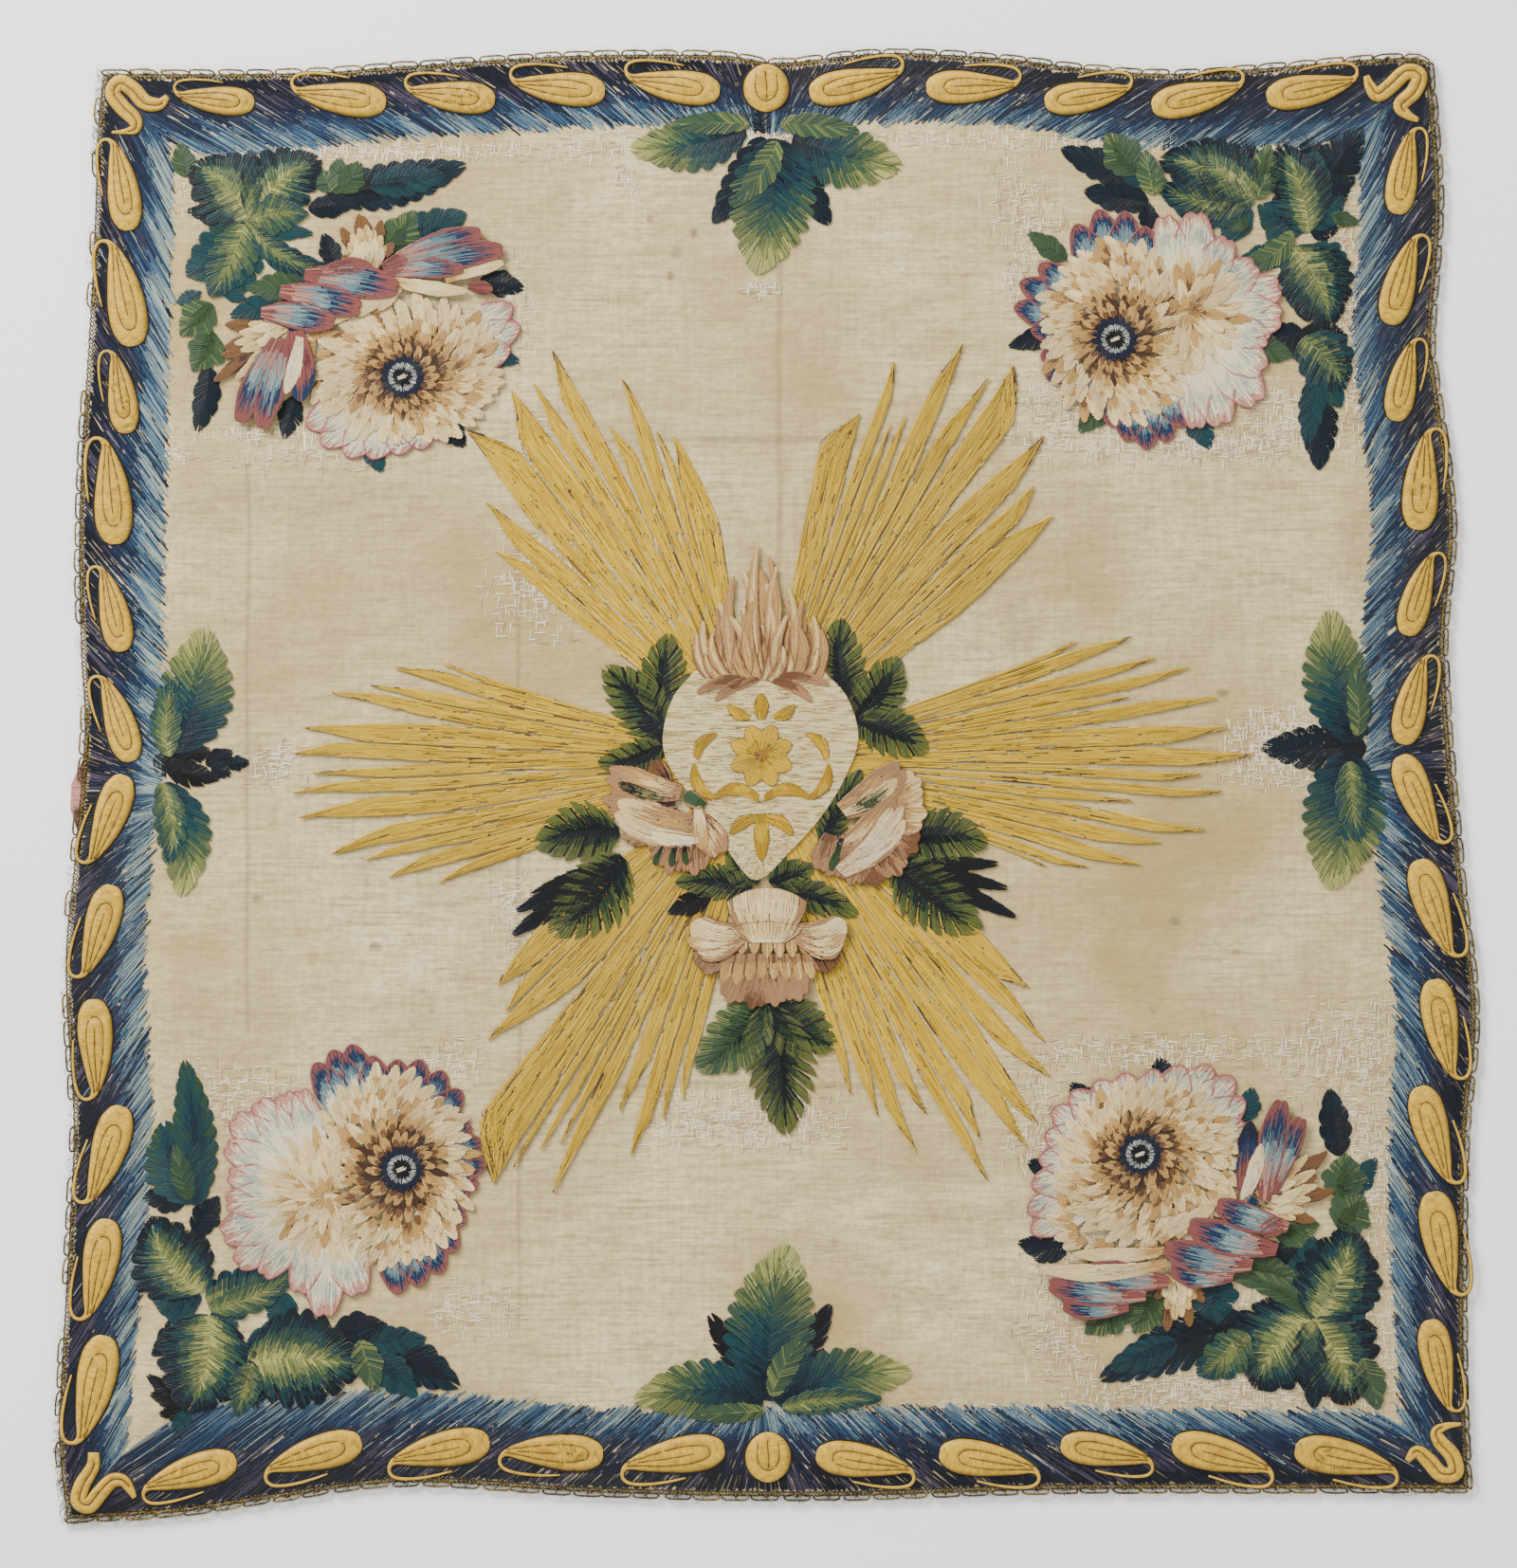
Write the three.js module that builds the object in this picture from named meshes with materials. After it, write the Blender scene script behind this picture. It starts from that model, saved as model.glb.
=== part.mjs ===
import * as THREE from 'three';

// Chalice veil, laid flat with its needlework up. Millimetres, +Z up, origin at the middle of the
// cloth on the surface that it lies on. X runs to the right and Y to the top of the cloth.

// Driving sizes.
const MM_PER_PIXEL = 0.375;      // a veil of about 56 cm across, seen straight from above
const MIDDLE = { px: 810, py: 831 };
const GAP = 0.3;                 // air between pieces that touch
const LINING_THICKNESS = 1.0;
const GROUND_THICKNESS = 1.2;
const LACE_THICKNESS = 1.1;
const LACE_WIDTH = 4.1;
const LINING_SETBACK = 1.5;      // the lining stops this far inside the lace's outer edge
const BORDER_WIDTH = 28;         // the rim lies flat on the lining, blue band and all
const LOFT = 1.5;                // how far the silk inside the band stands off the lining
const LOFT_RAMP = 18;            // the rise from the band to the loft

const GROUND_UNDERSIDE = LINING_THICKNESS + GAP;
const TRIM_UNDERSIDE = GROUND_UNDERSIDE + GROUND_THICKNESS + GAP;

const COLOURS = {
  ground: 0xcbbfa3,
  lining: 0xb98c86,
  lace: 0x8a7a4e,
  gold: 0xcdaa5f,
};

// The rim of the lace, side by side. Each row is a point of the photograph.
const RIM = {
  top: [
    { px: 104, py: 73 }, { px: 316, py: 72 }, { px: 421, py: 65 }, { px: 595, py: 54 },
    { px: 753, py: 53 }, { px: 823, py: 61 }, { px: 928, py: 51 }, { px: 1051, py: 56 },
    { px: 1155, py: 68 }, { px: 1260, py: 72 }, { px: 1471, py: 56 }, { px: 1513, py: 64 },
  ],
  bottom: [
    { px: 66, py: 1608 }, { px: 185, py: 1601 }, { px: 289, py: 1586 }, { px: 430, py: 1569 },
    { px: 632, py: 1580 }, { px: 862, py: 1584 }, { px: 1110, py: 1577 }, { px: 1332, py: 1576 },
    { px: 1554, py: 1576 },
  ],
  left: [
    { px: 104, py: 73 }, { px: 98, py: 140 }, { px: 93, py: 280 }, { px: 79, py: 526 },
    { px: 80, py: 680 }, { px: 84, py: 770 }, { px: 74, py: 901 }, { px: 64, py: 1020 },
    { px: 72, py: 1171 }, { px: 70, py: 1260 }, { px: 60, py: 1440 }, { px: 57, py: 1520 },
    { px: 66, py: 1608 },
  ],
  right: [
    { px: 1513, py: 64 }, { px: 1524, py: 210 }, { px: 1515, py: 351 }, { px: 1520, py: 403 },
    { px: 1538, py: 550 }, { px: 1529, py: 690 }, { px: 1546, py: 918 }, { px: 1562, py: 1069 },
    { px: 1551, py: 1205 }, { px: 1549, py: 1416 }, { px: 1554, py: 1576 },
  ],
};

// Soft ridges (height above zero) and troughs (below zero) of the silk, each along a straight run.
const FOLDS = [
  { name: 'long trough', x0: 844, y0: 1315, x1: 959, y1: 1384, width: 6, height: -1.6 },
  { name: 'long ridge', x0: 862, y0: 1288, x1: 985, y1: 1352, width: 8, height: 2.0 },
  { name: 'lower trough', x0: 959, y0: 1384, x1: 1074, y1: 1440, width: 6, height: -1.6 },
  { name: 'lower ridge', x0: 985, y0: 1352, x1: 1095, y1: 1405, width: 8, height: 1.8 },
  { name: 'outer swell', x0: 850, y0: 1352, x1: 1000, y1: 1430, width: 9, height: 1.2 },
  { name: 'upper pinch', x0: 826, y0: 1270, x1: 890, y1: 1270, width: 5, height: -1.3 },
  { name: 'cross trough', x0: 923, y0: 1248, x1: 1045, y1: 1245, width: 5, height: -1.4 },
  { name: 'cross ridge', x0: 935, y0: 1270, x1: 1050, y1: 1268, width: 6, height: 1.6 },
  { name: 'ray pinch', x0: 1060, y0: 641, x1: 1080, y1: 700, width: 8, height: -1.2 },
  { name: 'upper left wave', x0: 200, y0: 505, x1: 430, y1: 490, width: 14, height: 1.4 },
  { name: 'upper left dip', x0: 200, y0: 560, x1: 430, y1: 550, width: 13, height: -0.9 },
  { name: 'lower left wave', x0: 165, y0: 1045, x1: 420, y1: 1045, width: 14, height: 1.4 },
  { name: 'right band', x0: 1290, y0: 600, x1: 1430, y1: 565, width: 15, height: 1.3 },
  { name: 'heart swell', x0: 730, y0: 700, x1: 880, y1: 960, width: 34, height: 1.0 },
];

// Padded drops, from the middle of the round end to the narrow tip.
const PODS = {
  top: [
    { fatX: 268, fatY: 109, tipX: 186, tipY: 101 }, { fatX: 407, fatY: 109, tipX: 310, tipY: 97 },
    { fatX: 522, fatY: 106, tipX: 430, tipY: 96 }, { fatX: 638, fatY: 97, tipX: 541, tipY: 88 },
    { fatX: 759, fatY: 97, tipX: 662, tipY: 83 }, { fatX: 854, fatY: 99, tipX: 951, tipY: 77 },
    { fatX: 977, fatY: 92, tipX: 1073, tipY: 90 }, { fatX: 1102, fatY: 108, tipX: 1192, tipY: 94 },
    { fatX: 1215, fatY: 113, tipX: 1310, tipY: 91 }, { fatX: 1336, fatY: 103, tipX: 1430, tipY: 85 },
  ],
  left: [
    { fatX: 136, fatY: 243, tipX: 121, tipY: 149 }, { fatX: 141, fatY: 365, tipX: 120, tipY: 256 },
    { fatX: 134, fatY: 457, tipX: 121, tipY: 372 }, { fatX: 122, fatY: 574, tipX: 113, tipY: 465 },
    { fatX: 129, fatY: 687, tipX: 109, tipY: 599 }, { fatX: 139, fatY: 803, tipX: 110, tipY: 714 },
    { fatX: 132, fatY: 818, tipX: 97, tipY: 910 }, { fatX: 119, fatY: 934, tipX: 90, tipY: 1030 },
    { fatX: 99, fatY: 1054, tipX: 102, tipY: 1156 }, { fatX: 129, fatY: 1167, tipX: 96, tipY: 1268 },
    { fatX: 114, fatY: 1286, tipX: 94, tipY: 1390 }, { fatX: 111, fatY: 1409, tipX: 86, tipY: 1521 },
  ],
  right: [
    { fatX: 1473, fatY: 226, tipX: 1488, tipY: 137 }, { fatX: 1465, fatY: 342, tipX: 1491, tipY: 249 },
    { fatX: 1471, fatY: 444, tipX: 1489, tipY: 359 }, { fatX: 1495, fatY: 559, tipX: 1504, tipY: 455 },
    { fatX: 1483, fatY: 670, tipX: 1509, tipY: 584 }, { fatX: 1479, fatY: 785, tipX: 1501, tipY: 693 },
    { fatX: 1477, fatY: 797, tipX: 1515, tipY: 889 }, { fatX: 1496, fatY: 907, tipX: 1529, tipY: 1008 },
    { fatX: 1512, fatY: 1033, tipX: 1531, tipY: 1136 }, { fatX: 1497, fatY: 1146, tipX: 1527, tipY: 1247 },
    { fatX: 1511, fatY: 1257, tipX: 1531, tipY: 1364 }, { fatX: 1508, fatY: 1392, tipX: 1527, tipY: 1487 },
  ],
  bottom: [
    { fatX: 249, fatY: 1540, tipX: 152, tipY: 1568 }, { fatX: 381, fatY: 1520, tipX: 281, tipY: 1549 },
    { fatX: 516, fatY: 1520, tipX: 412, tipY: 1540 }, { fatX: 636, fatY: 1534, tipX: 531, tipY: 1530 },
    { fatX: 764, fatY: 1528, tipX: 658, tipY: 1545 }, { fatX: 861, fatY: 1534, tipX: 962, tipY: 1549 },
    { fatX: 991, fatY: 1532, tipX: 1094, tipY: 1549 }, { fatX: 1119, fatY: 1523, tipX: 1214, tipY: 1539 },
    { fatX: 1237, fatY: 1522, tipX: 1341, tipY: 1549 }, { fatX: 1366, fatY: 1528, tipX: 1472, tipY: 1549 },
  ],
};

// A drop's section along its length (0 at the round end, 1 at the tip, then back along the stalk).
// side is the distance from the middle line towards the rim, half is half its width, rise its height.
// All are shares of the length, but for rise, which is in millimetres.
const POD_SECTIONS = [
  { along: 0.0, side: 0.0, half: 0.05, rise: 0.7 },
  { along: 0.06, side: 0.0, half: 0.125, rise: 1.2 },
  { along: 0.18, side: 0.0, half: 0.172, rise: 1.6 },
  { along: 0.38, side: -0.005, half: 0.18, rise: 1.8 },
  { along: 0.6, side: -0.01, half: 0.15, rise: 1.7 },
  { along: 0.8, side: 0.0, half: 0.1, rise: 1.4 },
  { along: 0.95, side: 0.015, half: 0.045, rise: 1.0 },
  { along: 1.02, side: 0.06, half: 0.022, rise: 0.8 },
  { along: 1.03, side: 0.13, half: 0.018, rise: 0.7 },
  { along: 0.97, side: 0.19, half: 0.018, rise: 0.7 },
  { along: 0.82, side: 0.225, half: 0.016, rise: 0.7 },
  { along: 0.62, side: 0.235, half: 0.014, rise: 0.7 },
  { along: 0.42, side: 0.225, half: 0.01, rise: 0.6 },
];

// The way from a drop to the nearest rim of the cloth.
const OUTWARDS = { top: [0, 1], bottom: [0, -1], left: [-1, 0], right: [1, 0] };

const BOSSES = {
  top: { px: 808, py: 93, width: 18, height: 19 },
  bottom: { px: 810, py: 1537, width: 18, height: 20 },
};
const BOSS_RISE = 1.9;
const BOSS_STATIONS = 9;

// Curled corner pieces: a point of the photograph and the width in millimetres.
const SCROLLS = {
  top_left: [
    { px: 177, py: 102, width: 2.5 }, { px: 168, py: 110, width: 5 },
    { px: 153, py: 108, width: 6.5 }, { px: 141, py: 95, width: 6.5 }, { px: 127, py: 87, width: 6.5 },
    { px: 119, py: 98, width: 6.5 }, { px: 129, py: 113, width: 6.5 }, { px: 142, py: 126, width: 6 },
    { px: 142, py: 136, width: 4.5 }, { px: 131, py: 139, width: 2.2 }, { px: 118, py: 140, width: 1.2 },
  ],
  top_right: [
    { px: 1441, py: 80, width: 2.5 }, { px: 1445, py: 91, width: 4.5 }, { px: 1453, py: 100, width: 6 },
    { px: 1466, py: 91, width: 6.5 }, { px: 1483, py: 76, width: 6.5 },
    { px: 1497, py: 80, width: 6.5 }, { px: 1491, py: 97, width: 6.5 }, { px: 1477, py: 111, width: 6 },
    { px: 1484, py: 121, width: 4 }, { px: 1496, py: 127, width: 2 },
  ],
  bottom_left: [
    { px: 99, py: 1532, width: 4.5 }, { px: 98, py: 1547, width: 5.5 }, { px: 87, py: 1566, width: 6.5 },
    { px: 83, py: 1583, width: 6.5 }, { px: 94, py: 1588, width: 6.5 }, { px: 106, py: 1574, width: 6.5 },
    { px: 118, py: 1562, width: 6 }, { px: 130, py: 1562, width: 5 }, { px: 138, py: 1572, width: 3.5 },
    { px: 142, py: 1580, width: 2 },
  ],
  bottom_right: [
    { px: 1484, py: 1541, width: 2.5 }, { px: 1494, py: 1531, width: 5 },
    { px: 1507, py: 1541, width: 6.5 }, { px: 1520, py: 1555, width: 6.5 }, { px: 1535, py: 1553, width: 6.5 },
    { px: 1532, py: 1536, width: 6.5 }, { px: 1519, py: 1521, width: 6 }, { px: 1515, py: 1510, width: 4.5 },
    { px: 1526, py: 1504, width: 3 }, { px: 1541, py: 1502, width: 1.5 },
  ],
};
const SCROLL_RISE = 1.5;
const SCROLL_STATIONS = 24;

// Lace: loops along three sides, and a worn edge with shallow waves on the left.
const LACE_SIDES = {
  top: { pitch: 11.4, depth: 1.3, dips: [1, 0, 0] },
  bottom: { pitch: 12.0, depth: 1.3, dips: [1, 0, 0] },
  right: { pitch: 11.8, depth: 1.2, dips: [1, 0, 0] },
  left: { pitch: 16.0, depth: 0.7, dips: [1, 0] },
};

// The pink bulge of the lining past the lace on the left.
const BULGE = { py: 838, reach: 3.9, length: 13 };
const LINING_POINTS_A_SIDE = 26;

// Grid lines of the silk as shares of its width and height: up to each stop in equal steps, closest
// where the folds are.
const COLUMNS = [
  { stop: 0.04, steps: 1 }, { stop: 0.08, steps: 1 }, { stop: 0.5, steps: 9 }, { stop: 0.7, steps: 10 },
  { stop: 0.92, steps: 5 }, { stop: 0.96, steps: 1 }, { stop: 1, steps: 1 },
];
const ROWS = [
  { stop: 0.04, steps: 1 }, { stop: 0.08, steps: 1 }, { stop: 0.25, steps: 10 }, { stop: 0.92, steps: 14 },
  { stop: 0.96, steps: 1 }, { stop: 1, steps: 1 },
];

function acrossOf(px) {
  return (px - MIDDLE.px) * MM_PER_PIXEL;
}

function upOf(py) {
  return (MIDDLE.py - py) * MM_PER_PIXEL;
}

// A smooth line through a side's points, which answers one coordinate for the other.
function sideLine(rows, horizontal) {
  const points = rows.map((row) => new THREE.Vector3(acrossOf(row.px), upOf(row.py), 0));
  const samples = new THREE.CatmullRomCurve3(points, false, 'centripetal').getPoints(rows.length * 12);
  const known = samples.map((p) => (horizontal ? [p.x, p.y] : [p.y, p.x]));
  known.sort((a, b) => a[0] - b[0]);
  return (at) => {
    if (at <= known[0][0]) return known[0][1];
    for (let i = 1; i < known.length; i += 1) {
      if (at <= known[i][0]) {
        const share = (at - known[i - 1][0]) / (known[i][0] - known[i - 1][0]);
        return THREE.MathUtils.lerp(known[i - 1][1], known[i][1], share);
      }
    }
    return known[known.length - 1][1];
  };
}

const sides = {
  top: sideLine(RIM.top, true),
  bottom: sideLine(RIM.bottom, true),
  left: sideLine(RIM.left, false),
  right: sideLine(RIM.right, false),
};

// A place on the cloth by its shares across (u) and up (v), inside a rim set in by inset.
function onVeil(u, v, inset) {
  let x = 0;
  let y = 0;
  for (let round = 0; round < 6; round += 1) {
    x = THREE.MathUtils.lerp(sides.left(y) + inset, sides.right(y) - inset, u);
    y = THREE.MathUtils.lerp(sides.bottom(x) + inset, sides.top(x) - inset, v);
  }
  return [x, y];
}

// How high the silk stands above its lowest place.
function clothRise(x, y) {
  const fromRim = Math.min(
    x - sides.left(y), sides.right(y) - x, y - sides.bottom(x), sides.top(x) - y,
  );
  const inside = THREE.MathUtils.smoothstep(fromRim, BORDER_WIDTH, BORDER_WIDTH + LOFT_RAMP);
  let rise = LOFT;
  for (const fold of FOLDS) {
    const [ax, ay] = [acrossOf(fold.x0), upOf(fold.y0)];
    const [bx, by] = [acrossOf(fold.x1), upOf(fold.y1)];
    const long = Math.hypot(bx - ax, by - ay);
    const t = ((x - ax) * (bx - ax) + (y - ay) * (by - ay)) / (long * long);
    const nearest = THREE.MathUtils.clamp(t, 0, 1);
    const away = Math.hypot(x - ax - nearest * (bx - ax), y - ay - nearest * (by - ay));
    rise += fold.height * Math.exp(-((away / fold.width) ** 2));
  }
  return Math.max(0, rise) * inside;
}

function geometryOf(points, triangles) {
  const geometry = new THREE.BufferGeometry();
  geometry.setAttribute('position', new THREE.Float32BufferAttribute(points.flat(), 3));
  geometry.setIndex(triangles.flat());
  geometry.computeVertexNormals();
  return geometry;
}

// A closed body from rings of points: each ring is one section, all with the same number of points,
// turning anticlockwise when seen from the body's end.
function loft(rings) {
  const count = rings[0].length;
  const triangles = [];
  for (let r = 1; r < rings.length; r += 1) {
    for (let i = 0; i < count; i += 1) {
      const a = (r - 1) * count + i;
      const b = (r - 1) * count + ((i + 1) % count);
      triangles.push([a, b, b + count], [a, b + count, a + count]);
    }
  }
  const last = (rings.length - 1) * count;
  for (let i = 1; i < count - 1; i += 1) {
    triangles.push([0, i + 1, i], [last, last + i, last + i + 1]);
  }
  return geometryOf(rings.flat(), triangles);
}

function gridLines(stops) {
  const lines = [0];
  for (const { stop, steps } of stops) {
    const from = lines[lines.length - 1];
    for (let i = 1; i <= steps; i += 1) lines.push(from + ((stop - from) * i) / steps);
  }
  return lines;
}

// The silk panel: one sheet of even thickness over the folds.
function groundGeometry() {
  const us = gridLines(COLUMNS);
  const vs = gridLines(ROWS);
  const points = [];
  for (const lift of [0, GROUND_THICKNESS]) {
    for (const v of vs) {
      for (const u of us) {
        const [x, y] = onVeil(u, v, LACE_WIDTH);
        points.push([x, y, GROUND_UNDERSIDE + lift + clothRise(x, y)]);
      }
    }
  }
  const layer = us.length * vs.length;
  const triangles = [];
  for (let j = 0; j < vs.length - 1; j += 1) {
    for (let i = 0; i < us.length - 1; i += 1) {
      const a = j * us.length + i;
      const d = a + us.length;
      triangles.push([a, d + 1, a + 1], [a, d, d + 1]);
      triangles.push([a + layer, a + 1 + layer, d + 1 + layer], [a + layer, d + 1 + layer, d + layer]);
    }
  }
  const rim = [];
  for (let i = 0; i < us.length - 1; i += 1) rim.push(i);
  for (let j = 0; j < vs.length - 1; j += 1) rim.push(j * us.length + us.length - 1);
  for (let i = us.length - 1; i > 0; i -= 1) rim.push((vs.length - 1) * us.length + i);
  for (let j = vs.length - 1; j > 0; j -= 1) rim.push(j * us.length);
  rim.forEach((a, i) => {
    const b = rim[(i + 1) % rim.length];
    triangles.push([a, b, b + layer], [a, b + layer, a + layer]);
  });
  return geometryOf(points, triangles);
}

// The lining: a flat plate a little inside the lace's outer edge, but for its bulge on the left.
function liningGeometry() {
  const outline = [];
  const count = LINING_POINTS_A_SIDE;
  for (let i = 0; i < count; i += 1) outline.push(onVeil(i / count, 0, LINING_SETBACK));
  for (let i = 0; i < count; i += 1) outline.push(onVeil(1, i / count, LINING_SETBACK));
  for (let i = 0; i < count; i += 1) outline.push(onVeil(1 - i / count, 1, LINING_SETBACK));
  for (let i = 0; i < count; i += 1) {
    const [x, y] = onVeil(0, 1 - i / count, LINING_SETBACK);
    outline.push([x - BULGE.reach * Math.exp(-(((y - upOf(BULGE.py)) / BULGE.length) ** 2)), y]);
  }
  const shape = new THREE.Shape(outline.map(([x, y]) => new THREE.Vector2(x, y)));
  return new THREE.ExtrudeGeometry(shape, { depth: LINING_THICKNESS, bevelEnabled: false });
}

// One side's lace: a flat strip whose outer edge dips between its loops, and whose inner edge follows
// the straight runs of the silk's own edge.
function laceGeometry(name) {
  const { pitch, depth, dips } = LACE_SIDES[name];
  const level = name === 'top' || name === 'bottom';
  const place = (share, inset) => {
    if (name === 'top') return onVeil(share, 1, inset);
    if (name === 'bottom') return onVeil(1 - share, 0, inset);
    if (name === 'left') return onVeil(0, share, inset);
    return onVeil(1, 1 - share, inset);
  };
  const backwards = name === 'bottom' || name === 'right';
  const lines = gridLines(level ? COLUMNS : ROWS).map((line) => (backwards ? 1 - line : line));
  lines.sort((a, b) => a - b);
  const besideSilk = (share) => {
    const next = Math.max(1, lines.findIndex((line) => line >= share));
    const part = (share - lines[next - 1]) / (lines[next] - lines[next - 1]);
    const [ax, ay] = place(lines[next - 1], LACE_WIDTH - GAP);
    const [bx, by] = place(lines[next], LACE_WIDTH - GAP);
    return [THREE.MathUtils.lerp(ax, bx, part), THREE.MathUtils.lerp(ay, by, part)];
  };
  const [startX, startY] = place(0, 0);
  const [endX, endY] = place(1, 0);
  const length = level ? Math.abs(endX - startX) : Math.abs(endY - startY);
  const loops = Math.round(length / pitch);
  const steps = loops * dips.length;
  const trim = GAP / length;
  const rings = [];
  for (let i = 0; i <= steps; i += 1) {
    const share = THREE.MathUtils.lerp(trim, 1 - trim, i / steps);
    const [ox, oy] = place(share, dips[i % dips.length] * depth);
    const [ix, iy] = besideSilk(share);
    const low = GROUND_UNDERSIDE;
    const high = GROUND_UNDERSIDE + LACE_THICKNESS;
    rings.push([[ox, oy, low], [ox, oy, high], [ix, iy, high], [ix, iy, low]]);
  }
  return loft(rings);
}

// A padded band along stations { x, y, half, rise }: flat below, with a narrower raised top.
function bandGeometry(stations) {
  const rings = stations.map((station, i) => {
    const before = stations[Math.max(0, i - 1)];
    const after = stations[Math.min(stations.length - 1, i + 1)];
    const long = Math.hypot(after.x - before.x, after.y - before.y);
    const sideX = -(after.y - before.y) / long;
    const sideY = (after.x - before.x) / long;
    const corner = (share, z) => [
      station.x + sideX * station.half * share, station.y + sideY * station.half * share, z,
    ];
    const top = TRIM_UNDERSIDE + station.rise;
    return [corner(1, TRIM_UNDERSIDE), corner(0.5, top), corner(-0.5, top), corner(-1, TRIM_UNDERSIDE)];
  });
  return loft(rings);
}

function podGeometry(pod, outwards) {
  const [fatX, fatY] = [acrossOf(pod.fatX), upOf(pod.fatY)];
  const [tipX, tipY] = [acrossOf(pod.tipX), upOf(pod.tipY)];
  const long = Math.hypot(tipX - fatX, tipY - fatY);
  const dirX = (tipX - fatX) / long;
  const dirY = (tipY - fatY) / long;
  const facing = Math.sign(-dirY * outwards[0] + dirX * outwards[1]);
  return bandGeometry(POD_SECTIONS.map(({ along, side, half, rise }) => ({
    x: fatX + long * (dirX * along - dirY * facing * side),
    y: fatY + long * (dirY * along + dirX * facing * side),
    half: half * long,
    rise,
  })));
}

function bossGeometry({ px, py, width, height }) {
  const stations = [];
  for (let i = 0; i < BOSS_STATIONS; i += 1) {
    const angle = (Math.PI * (i + 0.35)) / (BOSS_STATIONS - 0.3);
    stations.push({
      x: acrossOf(px),
      y: upOf(py) - (height / 2) * Math.cos(angle),
      half: (width / 2) * Math.sin(angle),
      rise: BOSS_RISE * (0.5 + 0.5 * Math.sin(angle)),
    });
  }
  return bandGeometry(stations);
}

function scrollGeometry(rows) {
  const points = rows.map((row) => new THREE.Vector3(acrossOf(row.px), upOf(row.py), row.width / 2));
  const samples = new THREE.CatmullRomCurve3(points, false, 'centripetal').getSpacedPoints(SCROLL_STATIONS);
  return bandGeometry(samples.map((p) => ({ x: p.x, y: p.y, half: p.z, rise: SCROLL_RISE })));
}

function piece(name, geometry, color, roughness, metalness) {
  const mesh = new THREE.Mesh(geometry, new THREE.MeshStandardMaterial({ color, roughness, metalness }));
  mesh.name = name;
  return mesh;
}

const veil = new THREE.Group();
veil.name = 'chalice_veil';

veil.add(piece('lining', liningGeometry(), COLOURS.lining, 0.7, 0));
veil.add(piece('ground', groundGeometry(), COLOURS.ground, 0.6, 0));

for (const name of Object.keys(LACE_SIDES)) {
  veil.add(piece(`lace_${name}`, laceGeometry(name), COLOURS.lace, 0.45, 0.6));
}

for (const [side, pods] of Object.entries(PODS)) {
  pods.forEach((pod, i) => {
    veil.add(piece(`pod_${side}_${i + 1}`, podGeometry(pod, OUTWARDS[side]), COLOURS.gold, 0.5, 0));
  });
}

for (const [side, boss] of Object.entries(BOSSES)) {
  veil.add(piece(`boss_${side}`, bossGeometry(boss), COLOURS.gold, 0.5, 0));
}

for (const [corner, rows] of Object.entries(SCROLLS)) {
  veil.add(piece(`scroll_${corner}`, scrollGeometry(rows), COLOURS.gold, 0.5, 0));
}

export default veil;
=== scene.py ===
# %% [markdown]
# # A laid chalice veil in silk floss
# The real cloth is a square of cream silk. Its whole face is needlework: a blue feathered border,
# flowers and leaves in the corners, and gold rays round a heart. Padded drops of yellow silk are sewn
# on the border, and a narrow metal lace runs round the rim.
# A picture of all this could be painted on one flat sheet. Here every stitch is a small thread of its
# own instead, because light on floss is what makes such a cloth look sewn.

# %% Load the fixed frame
import bpy
import math
import numpy as np
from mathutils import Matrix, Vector


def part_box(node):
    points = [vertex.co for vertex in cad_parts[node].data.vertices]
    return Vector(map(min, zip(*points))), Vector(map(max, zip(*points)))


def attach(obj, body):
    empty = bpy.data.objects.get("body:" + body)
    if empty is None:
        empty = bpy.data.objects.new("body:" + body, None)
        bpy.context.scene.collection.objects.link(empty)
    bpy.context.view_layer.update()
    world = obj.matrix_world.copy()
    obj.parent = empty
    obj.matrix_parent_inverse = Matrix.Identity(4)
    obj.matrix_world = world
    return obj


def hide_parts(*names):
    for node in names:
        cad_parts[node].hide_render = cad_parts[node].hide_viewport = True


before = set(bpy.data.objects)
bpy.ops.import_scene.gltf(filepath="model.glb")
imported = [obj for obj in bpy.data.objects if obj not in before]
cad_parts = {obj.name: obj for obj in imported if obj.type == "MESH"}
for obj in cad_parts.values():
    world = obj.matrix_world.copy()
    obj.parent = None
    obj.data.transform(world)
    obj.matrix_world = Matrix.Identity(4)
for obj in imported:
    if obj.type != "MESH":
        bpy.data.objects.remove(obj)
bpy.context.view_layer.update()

# %% [markdown]
# ## Sizes and places
# The cloth was seen from straight above, so a place on it can be given by a point of that picture.
# One function turns such a point into metres, and everything that is sewn asks it where to go.

# %% Sizes in metres
MM = 0.001
METRES_PER_PIXEL = 0.375 * MM
MIDDLE_PX, MIDDLE_PY = 810, 831
FRAME_PX, FRAME_PY = 1600, 1654
GROUND_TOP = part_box("pod_top_1")[0][2] - 0.3 * MM
GROUND_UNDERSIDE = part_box("ground")[0][2]
LACE_WIDTH = 4.1 * MM
BORDER_FLAT = 28 * MM
LOFT = 1.5 * MM
LOFT_RAMP = 18 * MM
RNG = np.random.default_rng(1750)


def spot(px, py):
    """A point of the picture as a place on the cloth."""
    return np.stack([
        (np.asarray(px, float) - MIDDLE_PX) * METRES_PER_PIXEL,
        (MIDDLE_PY - np.asarray(py, float)) * METRES_PER_PIXEL,
    ], -1)


print("silk face at z =", round(GROUND_TOP / MM, 2), "mm")

# %% [markdown]
# ## The uneven rim and the folds
# No side of an old cloth is straight. Each side is a smooth line through a few points, and a place on
# the cloth is found between the four lines. The silk lies flat in the border and stands a little off
# its lining inside it, with soft ridges and troughs where it has been folded and pulled.

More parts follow.
